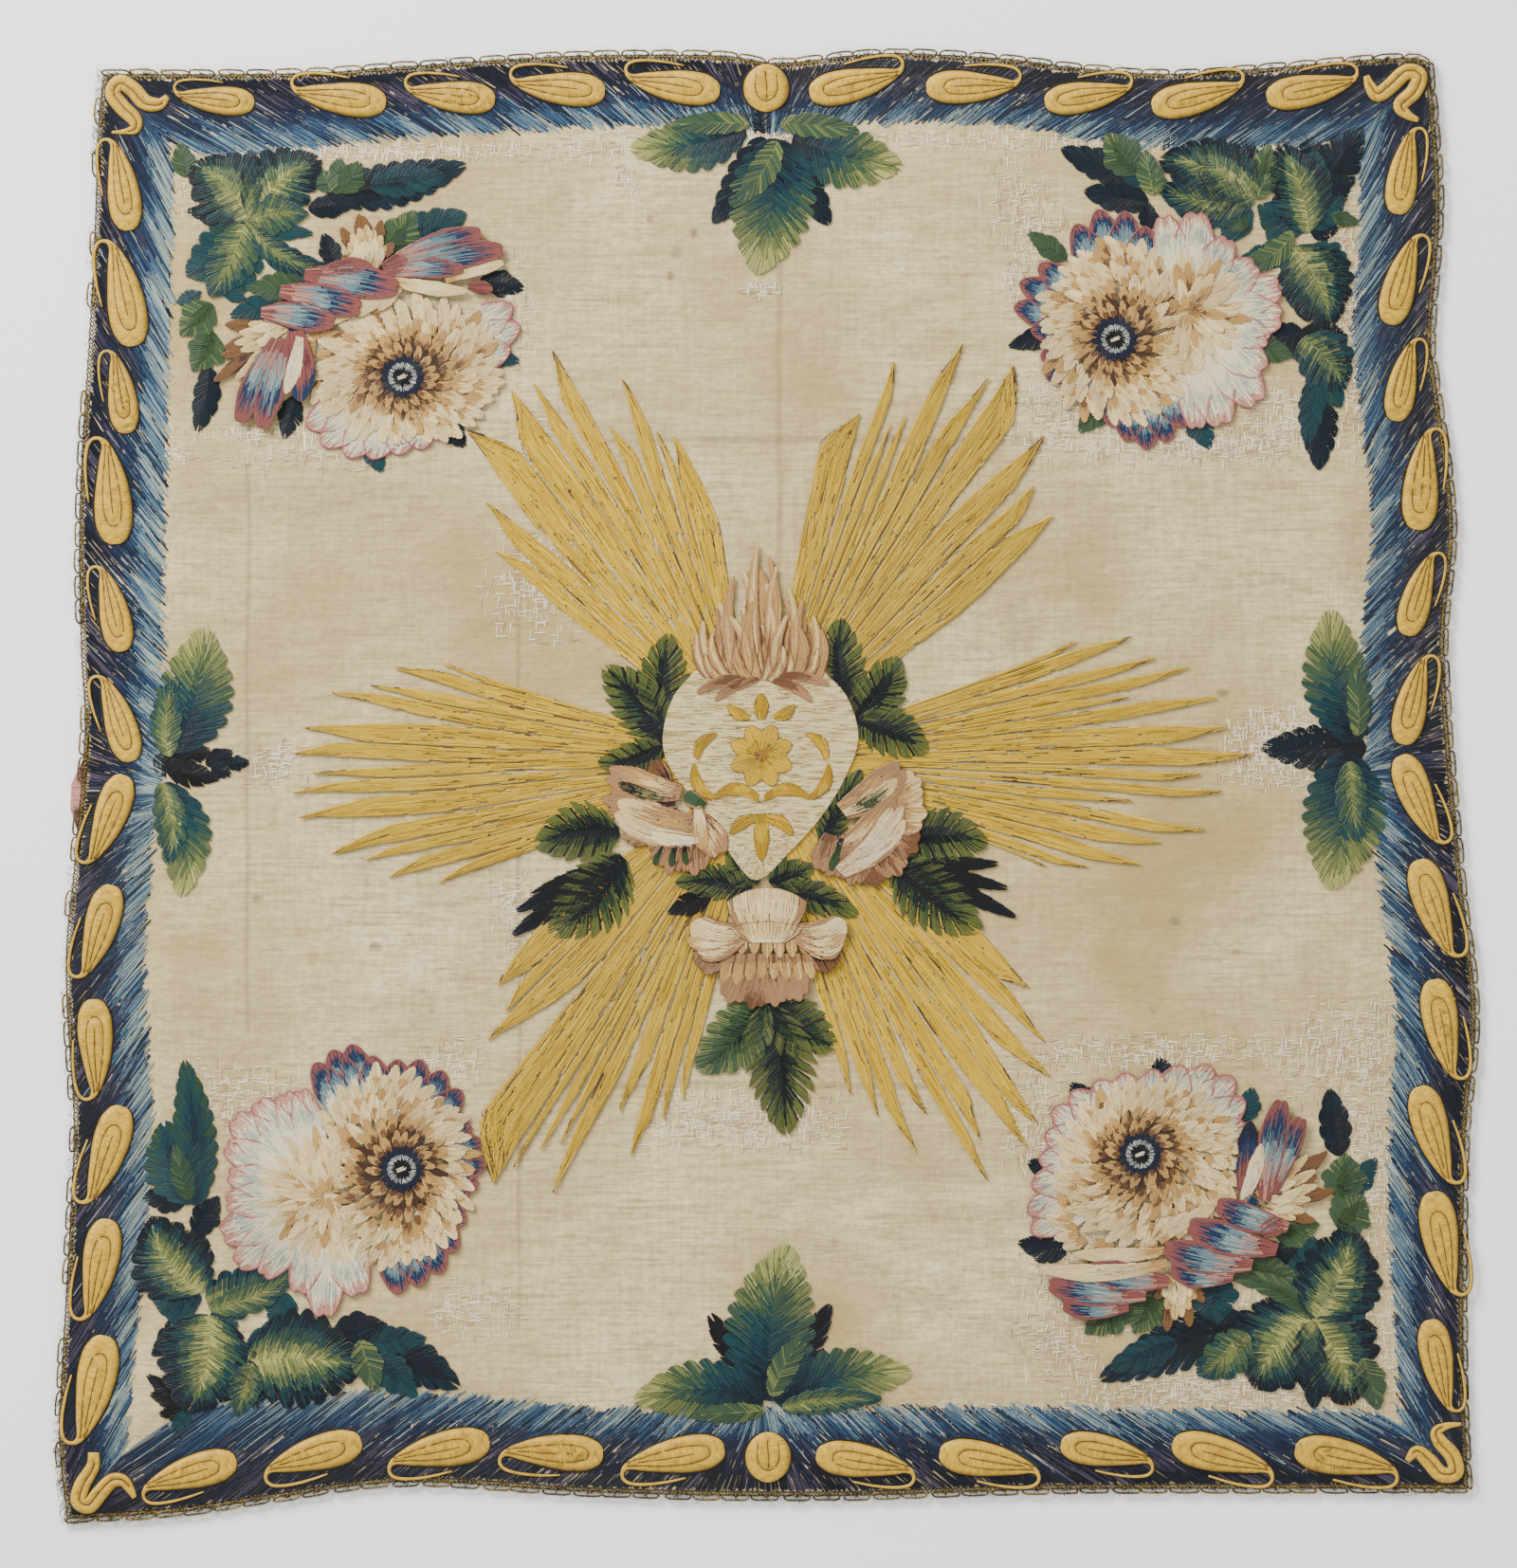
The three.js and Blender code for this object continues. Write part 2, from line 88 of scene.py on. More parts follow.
# %% The rim's four sides, as points of the picture
RIM = {
    "top": [(104, 73), (316, 72), (421, 65), (595, 54), (753, 53), (823, 61), (928, 51),
            (1051, 56), (1155, 68), (1260, 72), (1471, 56), (1513, 64)],
    "bottom": [(66, 1608), (185, 1601), (289, 1586), (430, 1569), (632, 1580), (862, 1584),
               (1110, 1577), (1332, 1576), (1554, 1576)],
    "left": [(104, 73), (98, 140), (93, 280), (79, 526), (80, 680), (84, 770), (74, 901),
             (64, 1020), (72, 1171), (70, 1260), (60, 1440), (57, 1520), (66, 1608)],
    "right": [(1513, 64), (1524, 210), (1515, 351), (1520, 403), (1538, 550), (1529, 690),
              (1546, 918), (1562, 1069), (1551, 1205), (1549, 1416), (1554, 1576)],
}


def smooth_line(points, steps=10):
    """A smooth curve through points of any dimension."""
    points = np.asarray(points, float)
    padded = np.vstack([2 * points[0] - points[1], points, 2 * points[-1] - points[-2]])
    t = np.linspace(0, 1, steps, endpoint=False)[:, None]
    runs = []
    for a, b, c, d in zip(padded, padded[1:], padded[2:], padded[3:]):
        runs.append(0.5 * (2 * b + (c - a) * t + (2 * a - 5 * b + 4 * c - d) * t ** 2
                           + (3 * b - a - 3 * c + d) * t ** 3))
    return np.vstack(runs + [points[-1:]])


def side_line(name):
    """A function that gives one coordinate of a side for the other one."""
    line = smooth_line(spot(*np.array(RIM[name]).T))
    known, asked = (0, 1) if name in ("top", "bottom") else (1, 0)
    line = line[np.argsort(line[:, known])]
    return lambda at: np.interp(at, line[:, known], line[:, asked])


SIDES = {name: side_line(name) for name in RIM}


def on_veil(u, v, inset):
    """A place by its shares across (u) and up (v) inside a rim that is set in by inset."""
    u, v, inset = np.broadcast_arrays(np.asarray(u, float), v, inset)
    x = np.zeros(u.shape)
    y = np.zeros(u.shape)
    for _ in range(6):
        left, right = SIDES["left"](y) + inset, SIDES["right"](y) - inset
        x = left + (right - left) * u
        low, high = SIDES["bottom"](x) + inset, SIDES["top"](x) - inset
        y = low + (high - low) * v
    return np.stack([x, y], -1)


# %% Folds: from, to, half width in millimetres, height in millimetres
FOLDS = [
    ("long trough", 844, 1315, 959, 1384, 6, -1.6),
    ("long ridge", 862, 1288, 985, 1352, 8, 2.0),
    ("lower trough", 959, 1384, 1074, 1440, 6, -1.6),
    ("lower ridge", 985, 1352, 1095, 1405, 8, 1.8),
    ("outer swell", 850, 1352, 1000, 1430, 9, 1.2),
    ("upper pinch", 826, 1270, 890, 1270, 5, -1.3),
    ("cross trough", 923, 1248, 1045, 1245, 5, -1.4),
    ("cross ridge", 935, 1270, 1050, 1268, 6, 1.6),
    ("ray pinch", 1060, 641, 1080, 700, 8, -1.2),
    ("upper left wave", 200, 505, 430, 490, 14, 1.4),
    ("upper left dip", 200, 560, 430, 550, 13, -0.9),
    ("lower left wave", 165, 1045, 420, 1045, 14, 1.4),
    ("right band", 1290, 600, 1430, 565, 15, 1.3),
    ("heart swell", 730, 700, 880, 960, 34, 1.0),
]


def cloth_rise(x, y):
    """How high the silk stands above its lowest place, in metres."""
    from_rim = np.minimum.reduce([
        x - SIDES["left"](y), SIDES["right"](y) - x, y - SIDES["bottom"](x), SIDES["top"](x) - y,
    ])
    inside = np.clip((from_rim - BORDER_FLAT) / LOFT_RAMP, 0, 1)
    inside = inside * inside * (3 - 2 * inside)
    rise = np.full(np.shape(x), LOFT)
    for name, x0, y0, x1, y1, width, height in FOLDS:
        start, end = spot(x0, y0), spot(x1, y1)
        run = end - start
        t = np.clip(((x - start[0]) * run[0] + (y - start[1]) * run[1]) / (run @ run), 0, 1)
        away = np.hypot(x - start[0] - t * run[0], y - start[1] - t * run[1])
        rise = rise + height * MM * np.exp(-((away / (width * MM)) ** 2))
    return np.maximum(rise, 0) * inside


print("folds:", len(FOLDS), "rim points:", sum(len(side) for side in RIM.values()))

# %% [markdown]
# ## Camera, light and floor
# The camera hangs straight above on a long lens, so that the cloth keeps its shape. One broad lamp
# comes in low from the upper left and rakes across the stitches, and a pale world fills the shadows.

# %% Camera
CAMERA_HEIGHT = 3.0
FRAME_HEIGHT = FRAME_PY * METRES_PER_PIXEL
camera_data = bpy.data.cameras.new("camera")
camera_data.sensor_fit = "VERTICAL"
camera_data.sensor_height = 36
camera_data.lens = 36 * CAMERA_HEIGHT / FRAME_HEIGHT
camera = bpy.data.objects.new("camera", camera_data)
bpy.context.scene.collection.objects.link(camera)
aim = spot(FRAME_PX / 2, FRAME_PY / 2)
camera.location = (aim[0], aim[1], CAMERA_HEIGHT + GROUND_TOP)
bpy.context.scene.camera = camera
print("lens:", round(camera_data.lens, 1), "mm")

# %% Lamps and world
LAMPS = [
    {"name": "key", "place": (-1.5, 1.7, 1.35), "size": 1.1, "watts": 150},
    {"name": "fill", "place": (1.8, -1.2, 1.9), "size": 2.0, "watts": 22},
]


def soft_lamp(name, place, size, watts):
    light = bpy.data.lights.new(name, "AREA")
    light.size = size
    light.energy = watts
    lamp = bpy.data.objects.new(name, light)
    lamp.location = place
    lamp.rotation_euler = (-Vector(place)).to_track_quat("-Z", "Y").to_euler()
    bpy.context.scene.collection.objects.link(lamp)


for lamp_row in LAMPS:
    soft_lamp(**lamp_row)
world = bpy.data.worlds.new("pale room")
world.use_nodes = True
world.node_tree.nodes["Background"].inputs["Color"].default_value = (1.0, 0.99, 0.97, 1)
world.node_tree.nodes["Background"].inputs["Strength"].default_value = 0.85
bpy.context.scene.world = world
print("lamps:", len(LAMPS))

# %% [markdown]
# ## Tools for making a piece
# Blender takes a mesh as points and faces. Each piece here is worked out as whole arrays, which is
# quick even for many thousands of stitches. A piece then rides on the one body, and takes one of the
# materials that this script makes.

# %% A piece from points and faces
VIVID, DEEPER = 1.3, 0.4


def unit(rows):
    """Each row of an array, brought to a length of one."""
    return rows / np.maximum(np.linalg.norm(rows, axis=-1, keepdims=True), 1e-9)


def halves(a, b, c, d):
    """Two triangles for each four-sided face."""
    return np.vstack([np.stack([a, b, c], 1), np.stack([a, c, d], 1)])


def border_of_grid(rows, columns):
    """The outer points of a grid, in order round it, and the point after each."""
    ring = np.concatenate([
        np.arange(columns), np.arange(1, rows) * columns + columns - 1,
        (rows - 1) * columns + np.arange(columns - 2, -1, -1), np.arange(rows - 2, 0, -1) * columns,
    ])
    return ring, np.roll(ring, -1)


def tone(red, green, blue):
    """A colour seen on screen (0 to 255) as the light values that a shader wants. The camera's view
    softens strong colours and lifts dark ones, so both are pushed a little the other way."""
    seen = np.array([red, green, blue], float) / 255
    light = np.where(seen <= 0.04045, seen / 12.92, ((seen + 0.055) / 1.055) ** 2.4)
    grey = light @ np.array([0.21, 0.72, 0.07])
    light = np.clip(grey + (light - grey) * VIVID, 0, None)
    return light * (grey / 0.55) ** DEEPER


def make_piece(name, points, faces, material, uv, tints=None, replaces=()):
    """A mesh object with its own unwrapping and, where given, one colour for each point."""
    mesh = bpy.data.meshes.new(name)
    mesh.from_pydata(np.asarray(points, float), [], np.asarray(faces, int))
    layer = mesh.uv_layers.new(name="OFBake")
    layer.data.foreach_set("uv", np.asarray(uv, np.float32).ravel())
    if tints is not None:
        colours = np.ones((len(points), 4), np.float32)
        colours[:, :3] = np.clip(tints, 0, 1)
        attribute = mesh.color_attributes.new("floss", "FLOAT_COLOR", "POINT")
        attribute.data.foreach_set("color", colours.ravel())
    mesh.shade_smooth()
    mesh.materials.append(material)
    piece = bpy.data.objects.new(name, mesh)
    bpy.context.scene.collection.objects.link(piece)
    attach(piece, "root")
    if replaces:
        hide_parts(*replaces)
    return piece


# %% [markdown]
# ## A stitch
# A stitch of floss is a short bundle of fibres, round on top and narrow at both ends. Each one is a
# small roof: a left edge, a ridge and a right edge at either end. Smooth shading rounds it,
# so it catches the lamp along its ridge as a thread does.

# %% The stitch maker
STITCH_FACES = np.array([(0, 1, 4), (0, 4, 3), (1, 2, 5), (1, 5, 4)])
CORNER_UV = np.array([(0.04, 0.1), (0.04, 0.5), (0.04, 0.9), (0.96, 0.1), (0.96, 0.5), (0.96, 0.9)])


class Floss:
    """Gathers stitches, and makes one piece of them."""

    def __init__(self, name, raised=0.0):
        self.name, self.raised = name, raised
        self.starts, self.ends, self.widths, self.tints, self.lifts = [], [], [], [], []

    def add(self, starts, ends, tints, width=0.75 * MM, lift=0.0):
        count = len(starts)
        if not count:
            return
        self.starts.append(np.asarray(starts, float))
        self.ends.append(np.asarray(ends, float))
        self.widths.append(np.broadcast_to(width, count) * RNG.uniform(0.85, 1.15, count))
        self.tints.append(np.broadcast_to(tints, (count, 3)) * RNG.uniform(0.86, 1.12, (count, 1)))
        self.lifts.append(np.broadcast_to(lift, count) + RNG.uniform(0, 0.09 * MM, count))

    def make(self, material, slot="silk_floss"):
        starts, ends = np.vstack(self.starts), np.vstack(self.ends)
        widths, lifts = np.concatenate(self.widths), np.concatenate(self.lifts)
        count = len(starts)
        run = unit(ends - starts)
        side = np.stack([-run[:, 1], run[:, 0]], 1)
        points = np.empty((count, 6, 3))
        for end, centre in ((0, starts), (3, ends)):
            floor = GROUND_TOP + cloth_rise(centre[:, 0], centre[:, 1]) + lifts + self.raised
            for k, share in enumerate((0.38, 0.0, -0.38)):
                points[:, end + k, :2] = centre + side * (share * widths)[:, None]
                points[:, end + k, 2] = floor + (widths * 0.42 if k == 1 else 0)
        faces = (np.arange(count)[:, None, None] * 6 + STITCH_FACES).reshape(-1, 3)
        grid = math.ceil(math.sqrt(count))
        cell = np.stack([np.arange(count) % grid, np.arange(count) // grid], 1)
        corners = CORNER_UV[STITCH_FACES].reshape(1, -1, 3, 2)
        uv = (corners + cell[:, None, None, :]) / grid
        tints = np.repeat(np.vstack(self.tints), 6, axis=0)
        piece = make_piece(self.name, points.reshape(-1, 3), faces, material, uv, tints)
        print(self.name, "stitches:", count)
        return piece


# %% Filling a shape with rows of stitches
def lay_rows(floss, place, bands, shades, pitch=0.6 * MM, width=0.78 * MM, lift=0.0, ragged=0.06,
             climb=0.03 * MM):
    """Fills a shape with stitches that run along its u and lie side by side across its v.

    place(u, v) gives the shape's points, bands are the u stretches that one stitch covers, and
    shades(u, v) gives the floss colours. ragged is how unevenly the stitches start and end."""
    for index, (low, high) in enumerate(bands):
        middle = (low + high) / 2
        across = place(np.full(9, middle), np.linspace(0, 1, 9))
        count = max(2, round(np.linalg.norm(np.diff(across, axis=0), axis=1).sum() / pitch))
        v = (np.arange(count) + 0.5 + 0.5 * (index % 2)) / count
        v = np.clip(v + RNG.uniform(-0.3, 0.3, count) / count, 0, 1)
        start = np.clip(low + RNG.uniform(-ragged, ragged, count) * (low > 0), 0, 1)
        end = np.clip(high + RNG.uniform(-ragged, ragged, count) * (high < 1), 0, 1)
        tints = shades((start + end) / 2, v)
        floss.add(place(start, v), place(end, v), tints, width, lift + index * climb)


def even_bands(count, overlap=0.25):
    """Equal stretches of a shape's length that overlap a little."""
    step = 1 / count
    return [(max(0, i * step - overlap * step), min(1, (i + 1) * step + overlap * step))
            for i in range(count)]


def shade_by(tones, at, blur=0.12):
    """Picks whole flosses from a list, as a needleworker does: the choice is blurred, not the colour."""
    tones = np.asarray(tones)
    index = (np.asarray(at) + RNG.normal(0, blur, np.shape(at))) * len(tones)
    return tones[np.clip(index.astype(int), 0, len(tones) - 1)]


# %% [markdown]
# ## Cord and lace thread
# Round threads that wander, such as the outline cord and the lace, are swept tubes. A few sides are
# enough, because smooth shading hides them.

# %% The cord maker
class Cords:
    """Gathers swept threads, and makes one piece of them."""

    def __init__(self, name, sides=4):
        self.name, self.sides = name, sides
        self.points, self.faces, self.uv, self.tints, self.count = [], [], [], [], 0
        self.threads = 0

    def add(self, path, radius, tint, closed=False):
        path = np.asarray(path, float)
        steps = len(path)
        before = np.roll(path, 1, 0) if closed else np.vstack([path[:1], path[:-1]])
        after = np.roll(path, -1, 0) if closed else np.vstack([path[1:], path[-1:]])
        run = unit(after - before)
        side = unit(np.cross((0, 0, 1), run))
        up = np.cross(run, side)
        turn = np.arange(self.sides) * 2 * np.pi / self.sides
        radii = np.broadcast_to(radius, steps)[:, None, None]
        ring = (path[:, None] + radii * (np.cos(turn)[None, :, None] * side[:, None]
                                         + np.sin(turn)[None, :, None] * up[:, None]))
        i = np.arange(steps if closed else steps - 1)[:, None]
        j = np.arange(self.sides)[None]
        a, b = i * self.sides + j, i * self.sides + (j + 1) % self.sides
        c = (a + self.sides) % (steps * self.sides)
        d = (b + self.sides) % (steps * self.sides)
        faces = np.stack([np.stack([a, b, d], -1), np.stack([a, d, c], -1)], 2).reshape(-1, 3)
        u0, u1 = i / steps + 0 * j, (i + 1) / steps + 0 * j
        v0, v1 = j / self.sides + 0 * i, (j + 1) / self.sides + 0 * i
        corner = [np.stack(p, -1) for p in ((u0, v0), (u0, v1), (u1, v1), (u1, v0))]
        uv = np.stack([np.stack([corner[0], corner[1], corner[2]], 2),
                       np.stack([corner[0], corner[2], corner[3]], 2)], 2).reshape(-1, 3, 2)
        if not closed:
            caps = [(0, k + 1, k) for k in range(1, self.sides - 1)]
            last = (steps - 1) * self.sides
            caps += [(last, last + k, last + k + 1) for k in range(1, self.sides - 1)]
            faces = np.vstack([faces, caps])
            uv = np.vstack([uv, np.full((len(caps), 3, 2), 0.5)])
        self.points.append(ring.reshape(-1, 3))
        self.faces.append(faces + self.count)
        self.uv.append((uv, self.threads))
        tints = np.broadcast_to(tint, (steps, 3)) * RNG.uniform(0.9, 1.1)
        self.tints.append(np.repeat(tints, self.sides, axis=0))
        self.count += steps * self.sides
        self.threads += 1

    def make(self, material, slot, replaces=()):
        grid = math.ceil(math.sqrt(self.threads))
        uv = np.vstack([(np.clip(part, 0.03, 0.97) + (k % grid, k // grid)) / grid
                        for part, k in self.uv])
        piece = make_piece(self.name, np.vstack(self.points), np.vstack(self.faces), material,
                           uv, np.vstack(self.tints), replaces)
        print(self.name, "threads:", self.threads, "faces:", len(piece.data.polygons))
        return piece


def lay_on_cloth(line, lift):
    """Puts a flat line on the silk's face."""
    line = np.asarray(line, float)
    height = GROUND_TOP + cloth_rise(line[:, 0], line[:, 1]) + lift
    return np.column_stack([line, np.broadcast_to(height, len(line))])


# %% [markdown]
# ## Finishes
# Effects that several cloths share are node groups with named inputs: the weave, the slubs where a
# thread runs thick, and the yellowing of age. Each material places them with its own values.

# %% Helpers for shader nodes
def new_group(name, inputs, outputs):
    """An empty shader group: inputs are (name, kind, value), outputs are (name, kind)."""
    group = bpy.data.node_groups.new(name, "ShaderNodeTree")
    for label, kind, value in inputs:
        socket = group.interface.new_socket(label, in_out="INPUT", socket_type=kind)
        if value is not None:
            socket.default_value = value
    for label, kind in outputs:
        group.interface.new_socket(label, in_out="OUTPUT", socket_type=kind)
    return group, group.nodes.new("NodeGroupInput"), group.nodes.new("NodeGroupOutput")


def math_node(tree, operation, first, second=None):
    """A Math node, whose inputs are sockets or numbers. Gives its result."""
    node = tree.nodes.new("ShaderNodeMath")
    node.operation = operation
    for socket, value in zip(node.inputs, (first, second)):
        if isinstance(value, bpy.types.NodeSocket):
            tree.links.new(value, socket)
        elif value is not None:
            socket.default_value = value
    return node.outputs[0]


def times(tree, first, second):
    return math_node(tree, "MULTIPLY", first, second)


def plus(tree, first, second):
    return math_node(tree, "ADD", first, second)


def noise_node(tree, vector, scale, detail=3.0, roughness=0.6, stretch=(1, 1, 1)):
    """Noise over a place, drawn out along an axis by a small stretch value."""
    mapping = tree.nodes.new("ShaderNodeMapping")
    mapping.inputs["Scale"].default_value = stretch
    tree.links.new(vector, mapping.inputs["Vector"])
    noise = tree.nodes.new("ShaderNodeTexNoise")
    noise.inputs["Scale"].default_value = scale
    noise.inputs["Detail"].default_value = detail
    noise.inputs["Roughness"].default_value = roughness
    tree.links.new(mapping.outputs["Vector"], noise.inputs["Vector"])
    return noise.outputs["Fac"]


def mix_colours(tree, share, first, second, blend="MIX"):
    """A colour mix, whose inputs are sockets or colours. Gives its result."""
    node = tree.nodes.new("ShaderNodeMix")
    node.data_type = "RGBA"
    node.blend_type = blend
    sockets = [s for s in node.inputs if s.enabled]
    for socket, value in zip(sockets, (share, first, second)):
        if isinstance(value, bpy.types.NodeSocket):
            tree.links.new(value, socket)
        elif np.ndim(value):
            socket.default_value = (*value, 1)
        else:
            socket.default_value = value
    return [s for s in node.outputs if s.enabled][0]


def ramp_node(tree, share, low, high):
    """Spreads the values between low and high over 0 to 1."""
    node = tree.nodes.new("ShaderNodeMapRange")
    node.inputs["From Min"].default_value = low
    node.inputs["From Max"].default_value = high
    tree.links.new(share, node.inputs["Value"])
    return node.outputs["Result"]


def patched(tree, base, mask, low, high, colour):
    """The base colour, with another one where a mask rises from low to high."""
    return mix_colours(tree, ramp_node(tree, mask, low, high), base, colour)


def thread_colour(tree):
    """The colour that each stitch or thread brings with it."""
    node = tree.nodes.new("ShaderNodeAttribute")
    node.attribute_name = "floss"
    return node.outputs["Color"]


# %% Shared effects
def weave_group():
    """Crossing threads: a height."""
    group, given, out = new_group(
        "Weave",
        [("Place", "NodeSocketVector", None), ("Threads", "NodeSocketFloat", 1800.0)],
        [("Height", "NodeSocketFloat")],
    )
    split = group.nodes.new("ShaderNodeSeparateXYZ")
    group.links.new(given.outputs["Place"], split.inputs[0])
    waves = []
    for axis in (0, 1):
        angle = times(group, split.outputs[axis], given.outputs["Threads"])
        waves.append(math_node(group, "SINE", times(group, angle, 2 * math.pi)))
    group.links.new(times(group, waves[0], waves[1]), out.inputs["Height"])
    return group


def slub_group():
    """Threads that run thick and thin, along and across the cloth."""
    group, given, out = new_group(
        "Slubs", [("Place", "NodeSocketVector", None)], [("Amount", "NodeSocketFloat")],
    )
    along = noise_node(group, given.outputs["Place"], 900, 2.0, 0.5, (0.06, 1, 1))
    across = noise_node(group, given.outputs["Place"], 900, 2.0, 0.5, (1, 0.05, 1))
    total = plus(group, times(group, along, 0.7),
                      times(group, across, 0.3))
    group.links.new(total, out.inputs["Amount"])
    return group


def ageing_group():
    """Broad cloudy discolouring, from clean (0) to yellowed (1)."""
    group, given, out = new_group(
        "Ageing",
        [("Place", "NodeSocketVector", None), ("Size", "NodeSocketFloat", 14.0)],
        [("Clouds", "NodeSocketFloat"), ("Foxing", "NodeSocketFloat")],
    )
    clouds = group.nodes.new("ShaderNodeTexNoise")
    clouds.inputs["Detail"].default_value = 5
    clouds.inputs["Roughness"].default_value = 0.6
    group.links.new(given.outputs["Place"], clouds.inputs["Vector"])
    group.links.new(given.outputs["Size"], clouds.inputs["Scale"])
    group.links.new(ramp_node(group, clouds.outputs["Fac"], 0.36, 0.66), out.inputs["Clouds"])
    specks = noise_node(group, given.outputs["Place"], 130, 2.0, 0.5)
    group.links.new(ramp_node(group, specks, 0.70, 0.80), out.inputs["Foxing"])
    return group


def crease_group():
    """A thin line pressed into cloth where one coordinate has a given value."""
    group, given, out = new_group(
        "Crease",
        [("Across", "NodeSocketFloat", 0.0), ("Along", "NodeSocketFloat", 0.0),
         ("Line", "NodeSocketFloat", 0.0), ("Start", "NodeSocketFloat", 0.0),
         ("End", "NodeSocketFloat", 1.0), ("Width", "NodeSocketFloat", 0.001)],
        [("Mask", "NodeSocketFloat")],
    )
    away = math_node(group, "ABSOLUTE",
                     math_node(group, "SUBTRACT", given.outputs["Across"], given.outputs["Line"]))
    near = math_node(group, "SUBTRACT", 1.0, math_node(group, "DIVIDE", away, given.outputs["Width"]))
    near = math_node(group, "MAXIMUM", near, 0.0)
    begun = math_node(group, "GREATER_THAN", given.outputs["Along"], given.outputs["Start"])
    going = math_node(group, "LESS_THAN", given.outputs["Along"], given.outputs["End"])
    mask = times(group, near, times(group, begun, going))
    group.links.new(mask, out.inputs["Mask"])
    return group


def spot_group():
    """One uneven patch of colour, a stain or painted fold shade: full in its middle and gone at its edge."""
    group, given, out = new_group(
        "Spot",
        [("Place", "NodeSocketVector", None), ("Middle", "NodeSocketVector", None),
         ("Across", "NodeSocketFloat", 0.002), ("Down", "NodeSocketFloat", 0.002),
         ("Wobble", "NodeSocketFloat", 0.5)],
        [("Mask", "NodeSocketFloat")],
    )
    away = group.nodes.new("ShaderNodeVectorMath")
    away.operation = "SUBTRACT"
    group.links.new(given.outputs["Place"], away.inputs[0])
    group.links.new(given.outputs["Middle"], away.inputs[1])
    split = group.nodes.new("ShaderNodeSeparateXYZ")
    group.links.new(away.outputs[0], split.inputs[0])
    across = math_node(group, "DIVIDE", split.outputs[0], given.outputs["Across"])
    down = math_node(group, "DIVIDE", split.outputs[1], given.outputs["Down"])
    total = plus(group, times(group, across, across),
                      times(group, down, down))
    total = plus(group, total, times(group, given.outputs["Wobble"], 2.0))
    group.links.new(ramp_node(group, total, 2.2, 0.7), out.inputs["Mask"])
    return group


WEAVE, SLUBS, AGEING, CREASE = weave_group(), slub_group(), ageing_group(), crease_group()
SPOT = spot_group()


def place_group(tree, group, vector, **values):
    """Puts a shared effect in a material."""
    node = tree.nodes.new("ShaderNodeGroup")
    node.node_tree = group
    tree.links.new(vector, node.inputs["Place"])
    for label, value in values.items():
        node.inputs[label].default_value = value
    return node


def new_material(name, roughness, sheen=0.0, metallic=0.0, specular=0.5):
    """A material with its Principled shader and the object's own coordinates."""
    material = bpy.data.materials.new(name)
    material.use_nodes = True
    tree = material.node_tree
    shader = tree.nodes["Principled BSDF"]
    shader.inputs["Roughness"].default_value = roughness
    shader.inputs["Metallic"].default_value = metallic
    shader.inputs["Specular IOR Level"].default_value = specular
    shader.inputs["Sheen Weight"].default_value = sheen
    shader.inputs["Sheen Roughness"].default_value = 0.4
    place = tree.nodes.new("ShaderNodeTexCoord").outputs["Object"]
    return material, tree, shader, place


def add_bump(tree, shader, height, distance, strength=1.0):
    bump = tree.nodes.new("ShaderNodeBump")
    bump.inputs["Distance"].default_value = distance
    bump.inputs["Strength"].default_value = strength
    tree.links.new(height, bump.inputs["Height"])
    tree.links.new(bump.outputs["Normal"], shader.inputs["Normal"])


# %% Floss: each stitch brings its own colour
def floss_material():
    material, tree, shader, place = new_material("silk floss", 0.5, sheen=0.03, specular=0.3)
    fibres = noise_node(tree, place, 2600, 2.0, 0.6)
    lit = mix_colours(tree, times(tree, fibres, 0.35), thread_colour(tree), tone(30, 26, 20), "MULTIPLY")
    tree.links.new(lit, shader.inputs["Base Color"])
    tree.links.new(ramp_node(tree, fibres, -0.6, 1.9), shader.inputs["Roughness"])
    add_bump(tree, shader, fibres, 0.05 * MM, 0.5)
    return material


FLOSS = floss_material()

# %% [markdown]
# ## The silk ground
# The panel is one thin closed sheet over the folds. Its weave is far finer than a step away can show,
# so it is bump, with slubs along and across. Old fold lines are pressed in and darkened with painted
# shade, and two grey patches of painted shade lie in folds. Age has clouded it and left stains, each a
# small uneven patch with a place of its own.

# %% Ground material
CREASES = [
    {"across": "y", "line": 465, "start": 640, "end": 1100, "width": 2.2},
    {"across": "y", "line": 1146, "start": 560, "end": 1090, "width": 2.0},
    {"across": "x", "line": 823, "start": 215, "end": 600, "width": 2.2},
    {"across": "x", "line": 548, "start": 560, "end": 1400, "width": 1.6},
    {"across": "x", "line": 262, "start": 480, "end": 1090, "width": 1.6},
]


def crease_mask(tree, place):
    """All the pressed lines together."""
    split = tree.nodes.new("ShaderNodeSeparateXYZ")
    tree.links.new(place, split.inputs[0])
    wobble = times(tree, noise_node(tree, place, 18, 3.0), 5 * MM)
    total = None
    for row in CREASES:
        vertical = row["across"] == "x"
        node = tree.nodes.new("ShaderNodeGroup")
        node.node_tree = CREASE
        across = plus(tree, split.outputs[0 if vertical else 1], wobble)
        tree.links.new(across, node.inputs["Across"])
        tree.links.new(split.outputs[1 if vertical else 0], node.inputs["Along"])
        px = row["line"] if vertical else row["start"]
        py = row["start"] if vertical else row["line"]
        end_px = px if vertical else row["end"]
        end_py = row["end"] if vertical else py
        first, last = spot(px, py), spot(end_px, end_py)
        lengthways = 1 if vertical else 0
        node.inputs["Line"].default_value = first[1 - lengthways] + 2.5 * MM
        node.inputs["Start"].default_value = min(first[lengthways], last[lengthways])
        node.inputs["End"].default_value = max(first[lengthways], last[lengthways])
        node.inputs["Width"].default_value = row["width"] * MM
        mask = node.outputs["Mask"]
        total = mask if total is None else plus(tree, total, mask)
    return total
